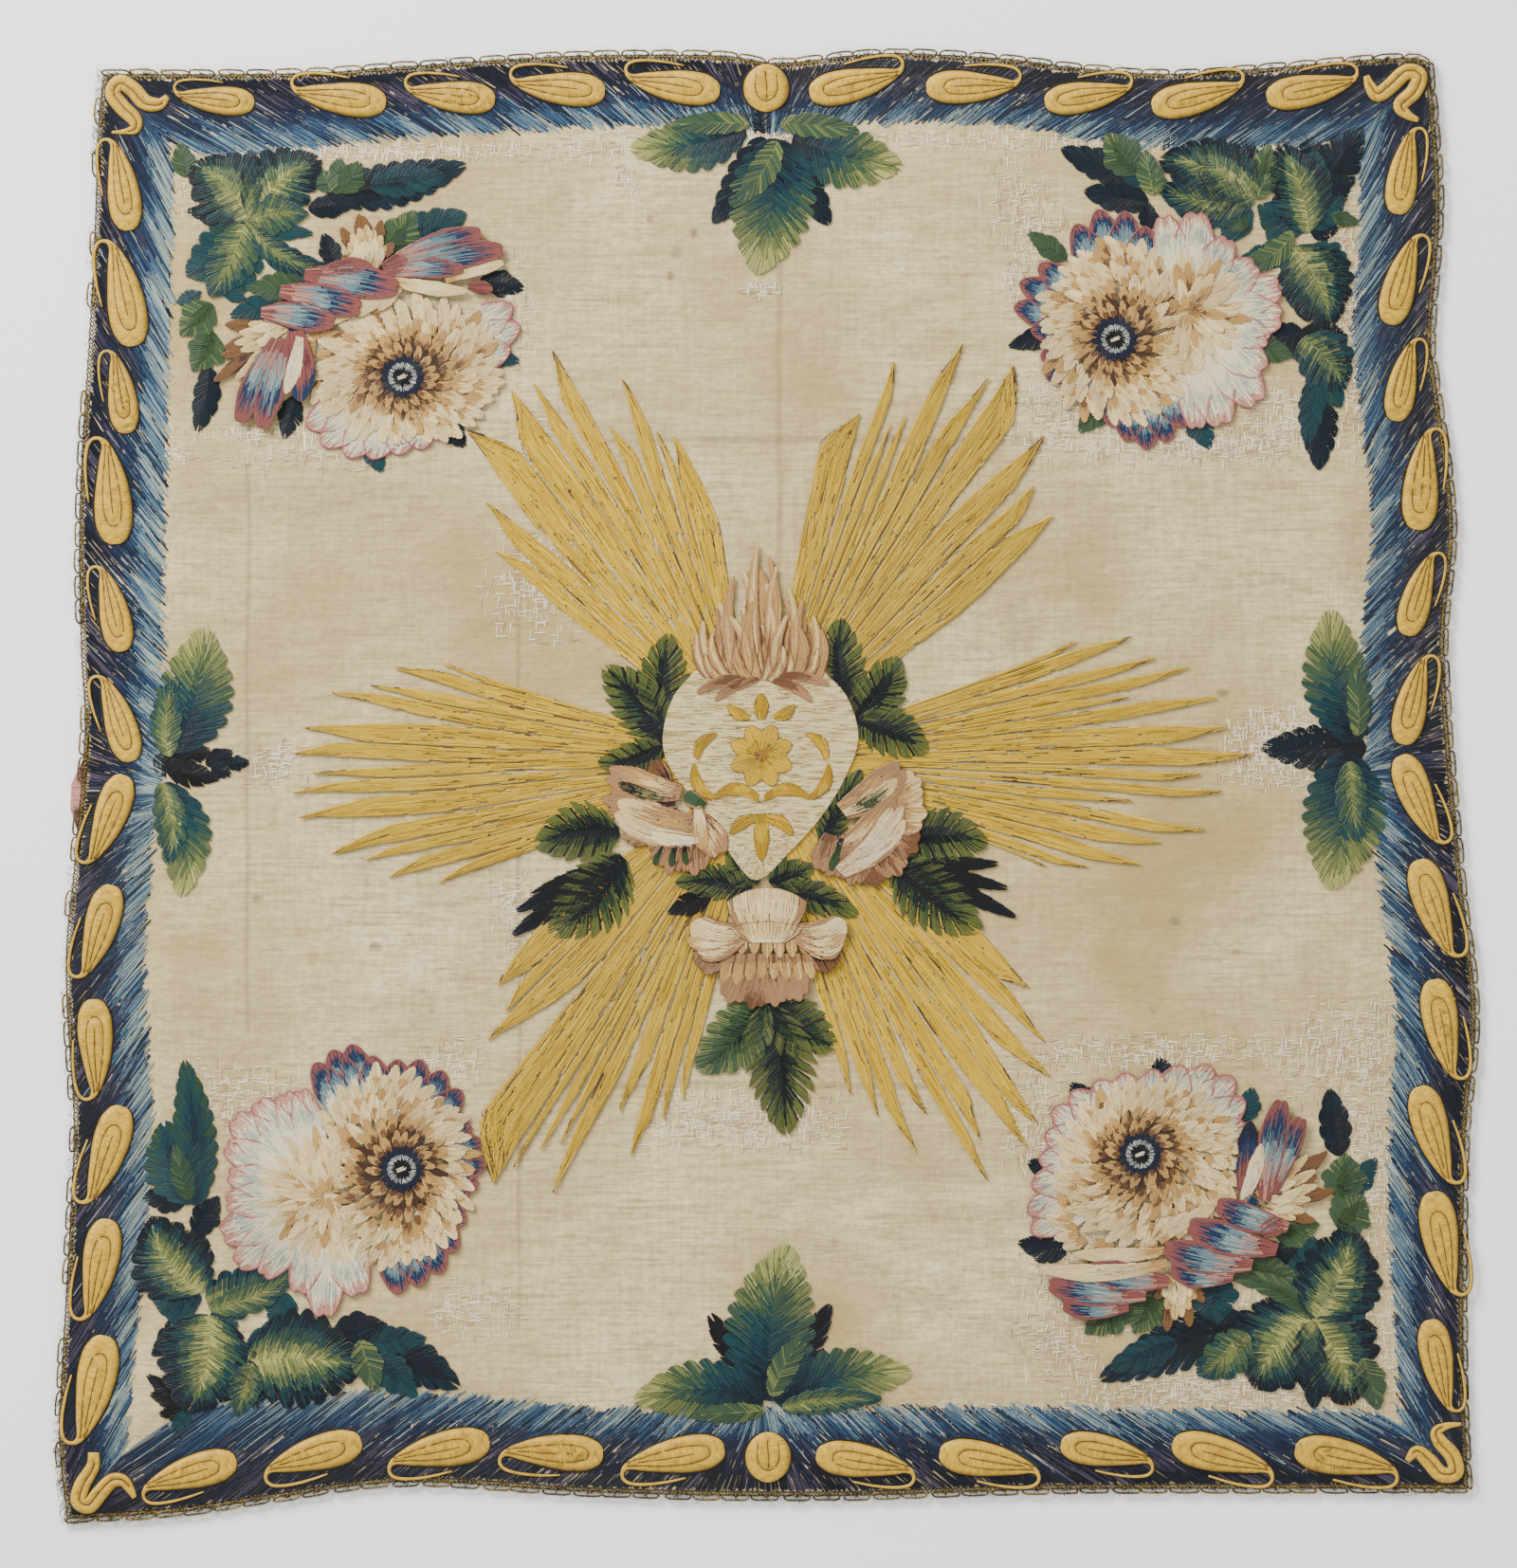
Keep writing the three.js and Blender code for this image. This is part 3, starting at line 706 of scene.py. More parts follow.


# Stains, and grey patches of painted shade in two folds: place, reach across and down in millimetres,
# strength and colour.
BROWN, GREY, RUST = tone(118, 84, 48), tone(128, 118, 98), tone(160, 112, 62)
STAINS_AND_FOLD_SHADE = [
    (272, 948, 2.6, 2.4, 0.8, GREY), (330, 1010, 3.0, 5.0, 0.35, RUST),
    (396, 999, 2.6, 2.2, 0.7, BROWN), (214, 1046, 2.4, 2.0, 0.5, GREY),
    (1289, 731, 2.6, 2.0, 0.6, BROWN), (1239, 971, 2.4, 2.2, 0.8, GREY),
    (1304, 1004, 2.0, 2.0, 0.5, BROWN), (1217, 1066, 2.0, 2.0, 0.5, GREY),
    (732, 247, 2.2, 2.6, 0.7, BROWN), (713, 267, 2.4, 3.4, 0.6, GREY), (707, 291, 2.0, 2.4, 0.7, BROWN),
    (686, 232, 2.0, 2.0, 0.6, BROWN), (510, 905, 9.0, 7.0, 0.6, BROWN),
    (530, 892, 5.0, 4.0, 0.7, BROWN), (640, 165, 9.0, 5.0, 0.3, RUST), (590, 215, 7.0, 9.0, 0.2, BROWN),
    # The grey patch at (1080, 660) is painted shade in the ray pinch fold.
    (1080, 660, 10.0, 12.0, 0.25, GREY), (270, 800, 12.0, 9.0, 0.22, GREY),
    (1000, 1500, 6.0, 3.0, 0.6, BROWN), (330, 200, 60.0, 40.0, 0.12, RUST),
    (1130, 840, 40.0, 60.0, 0.06, RUST), (1180, 560, 60.0, 30.0, 0.08, BROWN),
    # The grey patch at (990, 1245) is painted shade along the cross trough fold.
    (420, 960, 30.0, 20.0, 0.12, BROWN), (990, 1245, 30.0, 6.0, 0.15, GREY),
    (185, 620, 8.0, 5.0, 0.2, RUST), (205, 1000, 14.0, 7.0, 0.2, RUST),
    (1390, 1040, 12.0, 20.0, 0.1, BROWN),
]


def stains_and_fold_shade(tree, place, base, rows):
    """Lays stains and patches of painted fold shade over a base colour. All share one wobble, which keeps
    the shader quick.
    """
    wobble = noise_node(tree, place, 420, 4.0, 0.65)
    for px, py, across, down, strength, colour in rows:
        node = tree.nodes.new("ShaderNodeGroup")
        node.node_tree = SPOT
        tree.links.new(place, node.inputs["Place"])
        tree.links.new(wobble, node.inputs["Wobble"])
        centre = spot(px, py)
        node.inputs["Across"].default_value = across * MM
        node.inputs["Down"].default_value = down * MM
        node.inputs["Middle"].default_value = (centre[0], centre[1], 0)
        base = mix_colours(tree, times(tree, node.outputs["Mask"], strength), base, colour)
    return base


def ground_material():
    material, tree, shader, place = new_material("cream silk", 0.55, sheen=0.3, specular=0.4)
    weave = place_group(tree, WEAVE, place, Threads=1650.0)
    slubs = place_group(tree, SLUBS, place)
    age = place_group(tree, AGEING, place, Size=9.0)
    base = mix_colours(tree, age.outputs["Clouds"], tone(214, 201, 167), tone(178, 158, 114))
    base = patched(tree, base, slubs.outputs["Amount"], 0.42, 0.72, tone(176, 157, 120))
    base = mix_colours(tree, times(tree, age.outputs["Foxing"], 0.25), base,
                       tone(140, 112, 74))
    mottled = ramp_node(tree, noise_node(tree, place, 300, 4.0, 0.7, (1, 1.5, 1)), 0.42, 0.7)
    base = mix_colours(tree, times(tree, mottled, 0.6), base, tone(166, 148, 112))
    # Stains, and painted shade in two folds.
    base = stains_and_fold_shade(tree, place, base, STAINS_AND_FOLD_SHADE)
    pressed = crease_mask(tree, place)
    # Painted shade: the crease lines are darkened in colour as well as dented in the bump.
    base = mix_colours(tree, times(tree, pressed, 0.5), base, tone(150, 132, 100))
    tree.links.new(base, shader.inputs["Base Color"])
    rough = ramp_node(tree, slubs.outputs["Amount"], -0.6, 1.3)
    tree.links.new(rough, shader.inputs["Roughness"])
    soft = noise_node(tree, place, 60, 4.0, 0.55, (1, 1.6, 1))
    height = times(tree, weave.outputs["Height"], 0.06)
    height = plus(tree, height, times(tree, slubs.outputs["Amount"], 0.14))
    height = plus(tree, height, times(tree, soft, 2.4))
    height = math_node(tree, "SUBTRACT", height, times(tree, pressed, 0.35))
    add_bump(tree, shader, height, 0.6 * MM, 0.9)
    return material


GROUND_SILK = ground_material()

# %% The panel itself
def sheet_piece(name, rows, columns, inset, low, high, material, replaces):
    """A closed thin sheet between two heights that are functions of the place."""
    u, v = np.meshgrid(np.linspace(0, 1, columns), np.linspace(0, 1, rows))
    flat = on_veil(u, v, inset(u, v))
    layers = []
    for height in (high, low):
        layers.append(np.dstack([flat, height(flat[..., 0], flat[..., 1])]).reshape(-1, 3))
    count = rows * columns
    i, j = np.meshgrid(np.arange(columns - 1), np.arange(rows - 1))
    a = (j * columns + i).ravel()
    top = halves(a, a + 1, a + columns + 1, a + columns)
    ring, after = border_of_grid(rows, columns)
    wall = halves(ring, ring + count, after + count, after)
    faces = np.vstack([top, top[:, ::-1] + count, wall])
    shares = np.stack([u.ravel(), v.ravel()], 1)
    shares = np.vstack([shares * (0.62, 1.0), shares * (0.3, 0.3) + (0.66, 0.0)])
    piece = make_piece(name, np.vstack(layers), faces, material, shares[faces], None, replaces)
    print(name, "faces:", len(faces))
    return piece


GROUND_ROWS, GROUND_COLUMNS = 116, 112
panel = sheet_piece(
    "silk_panel", GROUND_ROWS, GROUND_COLUMNS, lambda u, v: LACE_WIDTH + 0 * u,
    lambda x, y: GROUND_UNDERSIDE + cloth_rise(x, y),
    lambda x, y: GROUND_TOP + cloth_rise(x, y),
    GROUND_SILK, ["ground"],
)

# %% [markdown]
# ## The lining
# A faded pink silk backs the veil. From above it shows in one place only, where it has slipped out
# past the lace on the left.

# %% Lining material and sheet
BULGE_PY = 838
BULGE_REACH = 6.6 * MM
BULGE_LENGTH = 13 * MM
LINING_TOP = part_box("lining")[1][2]


def lining_material():
    material, tree, shader, place = new_material("pink silk", 0.6, sheen=0.3, specular=0.35)
    weave = place_group(tree, WEAVE, place, Threads=1400.0)
    slubs = place_group(tree, SLUBS, place)
    age = place_group(tree, AGEING, place, Size=11.0)
    base = mix_colours(tree, age.outputs["Clouds"], tone(196, 150, 142), tone(168, 122, 112))
    base = patched(tree, base, slubs.outputs["Amount"], 0.42, 0.62, tone(146, 100, 92))
    tree.links.new(base, shader.inputs["Base Color"])
    height = plus(tree, times(tree, weave.outputs["Height"], 0.1),
                       slubs.outputs["Amount"])
    add_bump(tree, shader, height, 0.3 * MM, 0.6)
    return material


def lining_inset(u, v):
    """The lining ends under the lace's footing, and comes out past the lace at its bulge."""
    height = on_veil(u, v, LACE_WIDTH)[..., 1] - spot(0, BULGE_PY)[1]
    slip = BULGE_REACH * np.exp(-((height / BULGE_LENGTH) ** 2)) * np.clip(1 - 30 * u, 0, 1)
    return 3.9 * MM - slip


lining = sheet_piece(
    "pink_lining", 60, 54, lining_inset, lambda x, y: 0 * x, lambda x, y: LINING_TOP + 0 * x,
    lining_material(), ["lining"],
)

# %% Floor
floor_mesh = bpy.data.meshes.new("floor")
FLOOR_HALF = 2.2
floor_mesh.from_pydata(
    [(-FLOOR_HALF, -FLOOR_HALF, 0), (FLOOR_HALF, -FLOOR_HALF, 0), (FLOOR_HALF, FLOOR_HALF, 0),
     (-FLOOR_HALF, FLOOR_HALF, 0)], [], [(0, 1, 2, 3)])
floor = bpy.data.objects.new("floor", floor_mesh)
floor.location.z = -0.2 * MM
floor_material, _, floor_shader, _ = new_material("pale floor", 0.9)
floor_shader.inputs["Base Color"].default_value = (0.98, 0.98, 0.97, 1)
floor_mesh.materials.append(floor_material)
bpy.context.scene.collection.objects.link(floor)

# %% [markdown]
# ## The blue feathered border
# The band is worked in long slanting stitches. It starts navy at the lace, with purple-grey flecks,
# passes through a bright blue, and ends in pale tips that lean towards the middle of each side. On
# the left and right the tips are gathered in round lobes.

# %% Border floss
NAVY, INK, PURPLE = tone(38, 47, 74), tone(26, 33, 52), tone(98, 88, 106)
BLUE, BRIGHT, SKY, MIST = tone(46, 70, 104), tone(70, 100, 130), tone(110, 136, 150), tone(160, 170, 162)
BAND_DEPTH = {
    "top": [(0.0, 30), (0.1, 26), (0.25, 26.5), (0.45, 25), (0.6, 25.5), (0.75, 24), (0.9, 28), (1.0, 30)],
    "bottom": [(0.0, 38), (0.15, 33), (0.3, 31), (0.5, 32), (0.7, 32), (0.85, 29), (1.0, 28)],
    "left": [(0.0, 24), (0.1, 27), (0.25, 28), (0.45, 27), (0.6, 29), (0.8, 30), (1.0, 27)],
    "right": [(0.0, 23), (0.1, 26), (0.25, 28), (0.45, 30), (0.6, 30), (0.8, 28), (1.0, 28)],
}
BORDER_DARK = {"top": 0.06, "bottom": 0.05, "left": -0.03, "right": 0.02}
LOBE_PITCH = {"left": 10.2 * MM, "right": 12.5 * MM}


def rim_place(name, along, inset):
    """A place beside one edge: along from left or bottom (0 to 1), and how far in from the rim."""
    far = 1.0 if name in ("top", "right") else 0.0
    if name in ("top", "bottom"):
        return on_veil(along, far, inset)
    return on_veil(far, along, inset)


def floss_by_depth(depth, limits, tones):
    """The first colour up to the first limit, the next up to the second, and so on."""
    return np.asarray(tones)[np.searchsorted(limits, depth, side="right")]


def border_floss(name):
    """All the stitches of one side's band."""
    floss = Floss("blue_border_" + name)
    ends = rim_place(name, np.array([0.0, 1.0]), LACE_WIDTH)
    length = np.linalg.norm(ends[1] - ends[0])
    depths = np.array(BAND_DEPTH[name])
    pitch = LOBE_PITCH.get(name)
    count = round(length / (0.52 * MM))
    for index, (low, high) in enumerate([(0.0, 0.3), (0.2, 0.48), (0.38, 0.66), (0.55, 0.84),
                                         (0.7, 1.0), (0.78, 1.06)]):
        along = (np.arange(count) + RNG.uniform(0, 1, count)) / count * 1.07 - 0.035
        full = np.interp(along, depths[:, 0], depths[:, 1]) * MM
        tuft = np.sin(along * length / (4.1 * MM)) + np.sin(along * length / (1.7 * MM) + 1.3)
        if pitch:
            lobe = np.abs(np.sin(np.pi * along * length / pitch + 0.3 * np.sin(along * 31)))
            full = full + (4.2 * np.sqrt(lobe) - 4.0) * MM
        else:
            full = full + (tuft * 0.7 - 1.5) * MM
        start = full * np.clip(low + RNG.uniform(-0.05, 0.05, count), 0, 1)
        end = full * (high + RNG.uniform(-0.07, 0.05, count))
        lean = np.clip((0.5 - along) * 14, -1, 1) * RNG.uniform(0.75, 1.15, count)
        if name in ("left", "right"):
            lean = lean * 0.95
        shift = lean / length
        first = rim_place(name, np.clip(along + shift * start, 0, 1), LACE_WIDTH + start)
        last = rim_place(name, np.clip(along + shift * end, 0, 1), LACE_WIDTH + end)
        middle = (start + end) / (2 * full) + 0.09 * tuft + RNG.normal(-BORDER_DARK[name], 0.07, count)
        tints = floss_by_depth(middle, [0.24, 0.56, 0.74, 0.86, 0.97],
                               [INK, NAVY, BLUE, BRIGHT, SKY, MIST])
        fleck = (np.sin(along * length / (9.0 * MM) + 2 * index) > 0.1) & (middle > 0.1) & (middle < 0.55)
        fleck &= RNG.uniform(0, 1, count) < 0.42
        tints = np.where(fleck[:, None], PURPLE, tints)
        strays = RNG.uniform(0, 1, count)
        tints = np.where(((strays < 0.3) & (middle > 0.4) & (middle < 0.95))[:, None], NAVY, tints)
        tints = np.where(((strays > 0.96) & (middle > 0.3))[:, None], MIST, tints)
        floss.add(first, last, tints, 0.85 * MM, 0.05 * MM)
    return floss


def corner_fan(floss, u, v, depth_x, depth_y):
    """Fills the square where two bands meet, with stitches that spread from the veil's corner."""
    corner = on_veil(u, v, LACE_WIDTH)
    inwards = np.array([1 - 2 * u, 1 - 2 * v]) * (depth_x, depth_y) * MM
    for low, high in [(0.0, 0.34), (0.2, 0.5), (0.38, 0.68), (0.55, 0.84), (0.7, 1.0)]:
        count = round(30 + 70 * high)
        turn = RNG.uniform(0.02, 0.98, count) * np.pi / 2
        way = np.stack([np.cos(turn), np.sin(turn)], 1)
        reach = 0.97 / way.max(axis=1) * (1 + 0.03 * np.sin(turn * 17))
        first = reach * np.clip(low + RNG.uniform(-0.05, 0.05, count), 0, 1)
        last = reach * (high + RNG.uniform(-0.06, 0.04, count))
        middle = way.min(axis=1) * (first + last) / 2 + RNG.normal(0, 0.08, count)
        tints = floss_by_depth(middle, [0.20, 0.48, 0.68, 0.84], [INK, NAVY, BLUE, BRIGHT, SKY])
        floss.add(corner + way * first[:, None] * inwards, corner + way * last[:, None] * inwards, tints,
                  0.95 * MM, 0.0)


for side_name in SIDES:
    border = border_floss(side_name)
    if side_name in ("top", "bottom"):
        level = 1.0 if side_name == "top" else 0.0
        depth = BAND_DEPTH[side_name]
        corner_fan(border, 0.0, level, BAND_DEPTH["left"][-1 if level else 0][1] - 3, depth[0][1] - 3)
        corner_fan(border, 1.0, level, BAND_DEPTH["right"][-1 if level else 0][1] - 3, depth[-1][1] - 3)
    border.make(FLOSS)

# %% [markdown]
# ## Padded drops, bosses and scrolls
# Each drop is yellow silk over a filling, edged with a dark cord and quilted along a seam that turns
# back on itself. Its height is a soft dome that dips at every seam, so the seams are real valleys,
# and the silk's colour is darkened in them as painted shade.
# The drop's tip runs out into a narrow stalk that curls back beside it.

# %% Where the drops lie: fat end and tip as points of the picture
PODS = {
    "top": [(268, 109, 186, 101), (407, 109, 310, 97), (522, 106, 430, 96), (638, 97, 541, 88),
            (759, 97, 662, 83), (854, 99, 951, 77), (977, 92, 1073, 90), (1102, 108, 1192, 94),
            (1215, 113, 1310, 91), (1336, 103, 1430, 85)],
    "left": [(136, 243, 121, 149), (141, 365, 120, 256), (134, 457, 121, 372), (122, 574, 113, 465),
             (129, 687, 109, 599), (139, 803, 110, 714), (132, 818, 97, 910), (119, 934, 90, 1030),
             (99, 1054, 102, 1156), (129, 1167, 96, 1268), (114, 1286, 94, 1390), (111, 1409, 86, 1521)],
    "right": [(1473, 226, 1488, 137), (1465, 342, 1491, 249), (1471, 444, 1489, 359),
              (1495, 559, 1504, 455), (1483, 670, 1509, 584), (1479, 785, 1501, 693),
              (1477, 797, 1515, 889), (1496, 907, 1529, 1008), (1512, 1033, 1531, 1136),
              (1497, 1146, 1527, 1247), (1511, 1257, 1531, 1364), (1508, 1392, 1527, 1487)],
    "bottom": [(249, 1540, 152, 1568), (381, 1520, 281, 1549), (516, 1520, 412, 1540),
               (636, 1534, 531, 1530), (764, 1528, 658, 1545), (861, 1534, 962, 1549),
               (991, 1532, 1094, 1549), (1119, 1523, 1214, 1539), (1237, 1522, 1341, 1549),
               (1366, 1528, 1472, 1549)],
}
OUTWARDS = {"top": (0, 1), "bottom": (0, -1), "left": (-1, 0), "right": (1, 0)}
# A section of a drop: along its length, aside towards the rim, half its width (shares of the length)
# and its rise in millimetres.
POD_SECTIONS = [
    (0.0, 0.0, 0.05, 0.7), (0.02, 0.0, 0.09, 0.9), (0.06, 0.0, 0.125, 1.2), (0.18, 0.0, 0.172, 1.6),
    (0.38, -0.005, 0.18, 1.8), (0.6, -0.01, 0.15, 1.7), (0.8, 0.0, 0.1, 1.4),
    (0.95, 0.015, 0.045, 1.0), (1.02, 0.06, 0.022, 0.8), (1.03, 0.13, 0.018, 0.7),
    (0.97, 0.19, 0.018, 0.7), (0.82, 0.225, 0.016, 0.7), (0.62, 0.235, 0.014, 0.7),
    (0.42, 0.225, 0.01, 0.6),
]
SCROLLS = {
    "top_left": [(177, 102, 2.5), (168, 110, 5), (153, 108, 6.5), (141, 95, 6.5), (127, 87, 6.5),
                 (119, 98, 6.5), (129, 113, 6.5), (142, 126, 6), (142, 136, 4.5), (131, 139, 2.2),
                 (118, 140, 1.2)],
    "top_right": [(1441, 80, 2.5), (1445, 91, 4.5), (1453, 100, 6), (1466, 91, 6.5), (1483, 76, 6.5),
                  (1497, 80, 6.5), (1491, 97, 6.5), (1477, 111, 6), (1484, 121, 4), (1496, 127, 2)],
    "bottom_left": [(99, 1532, 4.5), (98, 1547, 5.5), (87, 1566, 6.5), (83, 1583, 6.5),
                    (94, 1588, 6.5), (106, 1574, 6.5), (118, 1562, 6), (130, 1562, 5),
                    (138, 1572, 3.5), (142, 1580, 2)],
    "bottom_right": [(1484, 1541, 2.5), (1494, 1531, 5), (1507, 1541, 6.5), (1520, 1555, 6.5),
                     (1535, 1553, 6.5), (1532, 1536, 6.5), (1519, 1521, 6), (1515, 1510, 4.5),
                     (1526, 1504, 3), (1541, 1502, 1.5)],
}
BOSSES = {"top": (808, 93, 18, 19), "bottom": (810, 1537, 18, 20)}
# Pods with a crease across them (share of the length), and pods with a brown stain.
CREASED = {"right_3": 0.36, "left_9": 0.45, "left_3": 0.3, "right_4": 0.6, "top_3": 0.62, "bottom_4": 0.55}
STAINED = {"left_10": 0.35, "right_12": 0.45, "bottom_2": 0.3, "bottom_4": 0.75, "bottom_8": 0.5,
           "bottom_9": 0.7, "right_5": 0.2}
FRAYED = ("left_3", "right_9", "bottom_10", "top_3", "bottom_4")
CORD_BROWN, SEAM_BROWN = tone(50, 36, 24), tone(122, 90, 44)


# %% Yellow silk and cord
def gold_material():
    material, tree, shader, place = new_material("yellow silk", 0.5, sheen=0.3, specular=0.4)
    lines = tree.nodes.new("ShaderNodeUVMap")
    lines.uv_map = "OFBake"
    grain = noise_node(tree, lines.outputs["UV"], 60, 3.0, 0.7, (4.5, 0.12, 1))
    soft = noise_node(tree, place, 260, 3.0, 0.6)
    base = patched(tree, thread_colour(tree), grain, 0.38, 0.66, tone(168, 128, 66))
    base = patched(tree, base, soft, 0.5, 0.85, tone(150, 112, 62))
    tree.links.new(base, shader.inputs["Base Color"])
    tree.links.new(ramp_node(tree, grain, -0.5, 1.6), shader.inputs["Roughness"])
    add_bump(tree, shader, grain, 0.22 * MM, 0.7)
    return material


def cord_material():
    material, tree, shader, place = new_material("dark cord", 0.6, sheen=0.1, specular=0.3)
    twist = noise_node(tree, place, 2200, 2.0, 0.6)
    base = patched(tree, thread_colour(tree), twist, 0.4, 0.7, tone(30, 22, 14))
    tree.links.new(base, shader.inputs["Base Color"])
    add_bump(tree, shader, twist, 0.08 * MM, 0.7)
    return material


GOLD_SILK, CORD = gold_material(), cord_material()
POD_GOLD = tone(214, 182, 104)


# %% A padded band along stations
ACROSS = np.linspace(-1, 1, 11)


def seam_dip(stations, seams):
    """How deep the quilting presses each point of the band, in metres."""
    points = band_points(stations)
    dip = np.zeros(points.shape[:2])
    for seam in seams:
        away = np.linalg.norm(points[:, :, None, :] - seam[None, None, :, :], axis=-1).min(axis=2)
        dip = np.maximum(dip, np.exp(-((away / (0.62 * MM)) ** 2)))
    return dip


def band_frame(stations):
    run = unit(np.gradient(stations[:, :2], axis=0))
    return np.stack([-run[:, 1], run[:, 0]], 1)


def band_points(stations, across=ACROSS):
    side = band_frame(stations)
    return stations[:, None, :2] + side[:, None] * (stations[:, 2:3] * across)[..., None]


def padded_band(name, node, stations, seams, cords, crease=None, stain=None, ends=False):
    """A filled silk band with its seams pressed in and its cord on both edges."""
    flat = band_points(stations)
    dome = np.sqrt(np.clip(1 - np.abs(ACROSS) ** 2.6, 0, 1))
    rise = stations[:, 3:4] * (0.12 + 0.88 * dome) + 0.25 * MM
    dip = seam_dip(stations, seams) if seams else 0
    rise = rise * (1 - 0.42 * dip)
    share = np.linspace(0, 1, len(stations))[:, None] + 0.02 * ACROSS
    if crease is not None:
        rise = rise * (1 - 0.5 * np.exp(-(((share - crease * 0.52) / 0.012) ** 2)))
        rise = rise * (1 + 0.22 * np.exp(-(((share - crease * 0.52 - 0.03) / 0.014) ** 2)))
    rise = rise * (1 + 0.05 * np.sin(share * 90 + 3 * ACROSS))
    base = GROUND_TOP + cloth_rise(flat[..., 0], flat[..., 1])
    top = np.dstack([flat, base + rise])
    under = np.dstack([flat, base + 0 * rise])
    rows, columns = flat.shape[:2]
    count = rows * columns
    i, j = np.meshgrid(np.arange(rows - 1), np.arange(columns - 1), indexing="ij")
    a = (i * columns + j).ravel()
    upper = halves(a, a + columns, a + columns + 1, a + 1)
    ring, after = border_of_grid(rows, columns)
    wall = halves(ring, after, after + count, ring + count)
    edge = np.arange(rows - 1) * columns + count
    other = edge + columns - 1
    lower = np.vstack([np.stack([edge, other + columns, edge + columns], 1),
                       np.stack([edge, other, other + columns], 1)])
    faces = np.vstack([upper, lower, wall])
    lengths = np.linalg.norm(np.diff(stations[:, :2], axis=0), axis=1)
    along = np.concatenate([[0], np.cumsum(lengths)])
    u = np.repeat(along[:, None] / 0.07, columns, 1)
    v = np.repeat((ACROSS[None] + 1) / 2, rows, 0)
    shares = np.dstack([u * 0.96, v * 0.45 + 0.02]).reshape(-1, 2)
    uv = np.vstack([shares, shares + (0, 0.5)])[faces]
    tints = np.broadcast_to(POD_GOLD * RNG.uniform(0.95, 1.05), (rows, columns, 3)).copy()
    if seams:
        # Painted shade: the silk's colour is darkened in the seam valleys.
        tints *= (1 - 0.72 * dip[..., None] * (1 - np.array([0.5, 0.42, 0.36])))
    edge = np.clip((np.abs(ACROSS) - 0.8) / 0.2, 0, 1)[None, :, None]
    tints *= 1 - 0.3 * edge
    if stain is not None:
        spot_share = np.exp(-(((share - stain * 0.5) / 0.03) ** 2 + ((ACROSS - 0.1) / 0.4) ** 2))
        tints *= 1 - 0.5 * spot_share[..., None] * np.array([0.6, 0.75, 0.9])
    tints = np.vstack([tints.reshape(-1, 3)] * 2)
    points = np.vstack([top.reshape(-1, 3), under.reshape(-1, 3)])
    facing = (points[faces[0, 1]] - points[faces[0, 0]])[:2]
    other = (points[faces[0, 2]] - points[faces[0, 0]])[:2]
    if facing[0] * other[1] - facing[1] * other[0] < 0:
        faces, uv = faces[:, ::-1], uv[:, ::-1]
    piece = make_piece(name, points, faces, GOLD_SILK, uv, tints, [node])
    for edge_share in (1.05, -1.05):
        line = band_points(stations, np.array([edge_share]))[:, 0]
        radius = np.clip(stations[:, 2] * 0.1, 0.22 * MM, 0.42 * MM)
        cords.add(lay_on_cloth(line, 0.4 * MM), radius, CORD_BROWN)
    if ends:
        for row in (0, -1):
            cap = band_points(stations[[row, row - (1 if row else -1)]], np.linspace(-1, 1, 7))[0]
            cords.add(lay_on_cloth(cap, 0.2 * MM), 0.3 * MM, CORD_BROWN)
    for seam in seams:
        away = np.linalg.norm(seam[:, None] - flat.reshape(-1, 2)[None], axis=-1)
        height = rise.ravel()[away.argmin(axis=1)] + 0.16 * MM
        cords.add(lay_on_cloth(seam, np.convolve(np.pad(height, 2, mode="edge"), np.ones(5) / 5, "valid")),
                  0.2 * MM, SEAM_BROWN)
    return piece


def pod_stations(pod, outwards):
    """A drop's stations, and the map from its own shares to the cloth."""
    fat, tip = spot(pod[0], pod[1]), spot(pod[2], pod[3])
    run = tip - fat
    long = np.linalg.norm(run)
    run = run / long
    aside = np.array([-run[1], run[0]])
    aside = aside * np.sign(aside @ outwards)
    rows = smooth_line(POD_SECTIONS, 4)
    places = fat + long * (rows[:, 0:1] * run + rows[:, 1:2] * aside)
    stations = np.column_stack([places, rows[:, 2] * long, rows[:, 3] * MM])

    def own(along, off):
        along, off = np.atleast_1d(along), np.atleast_1d(off)
        return fat + long * (along[:, None] * run + off[:, None] * aside)

    return stations, own


def pod_seams(own, long_u=0.2):
    """The seam that turns back on itself, and the line down its middle."""
    width = [(0.97, 0.02), (0.86, 0.032), (0.72, 0.055), (0.55, 0.078), (0.4, 0.088), (0.28, 0.08),
             (long_u, 0.05), (long_u - 0.025, 0.0)]
    bend = smooth_line([(a, b) for a, b in width] + [(a, -b) for a, b in width[-2::-1]], 5)
    bend = own(bend[:, 0], bend[:, 1])
    middle = own(np.linspace(0.3, 0.95, 14), 0.006 * np.sin(np.linspace(0, 4, 14)))
    return [bend, middle]


side_cords = {}
for side_name, rows in PODS.items():
    side_cords[side_name] = Cords("cords_" + side_name, sides=3)
    for number, pod in enumerate(rows, 1):
        label = f"{side_name}_{number}"
        stations, own = pod_stations(pod, OUTWARDS[side_name])
        seams = pod_seams(own, 0.17 + 0.05 * RNG.random())
        padded_band("drop_" + label, "pod_" + label, stations, seams, side_cords[side_name],
                    crease=CREASED.get(label), stain=STAINED.get(label))
        if label in FRAYED:
            for _ in range(9):
                at, off = RNG.uniform(0.1, 0.6), RNG.uniform(-0.13, 0.13)
                loop = own(at + np.cumsum(RNG.normal(0, 0.022, 6)), off + np.cumsum(RNG.normal(0, 0.02, 6)))
                path = lay_on_cloth(smooth_line(loop, 4), 1.9 * MM)
                path[:, 2] += RNG.uniform(0, 0.5) * MM
                side_cords[side_name].add(path, 0.15 * MM, POD_GOLD * 0.8)

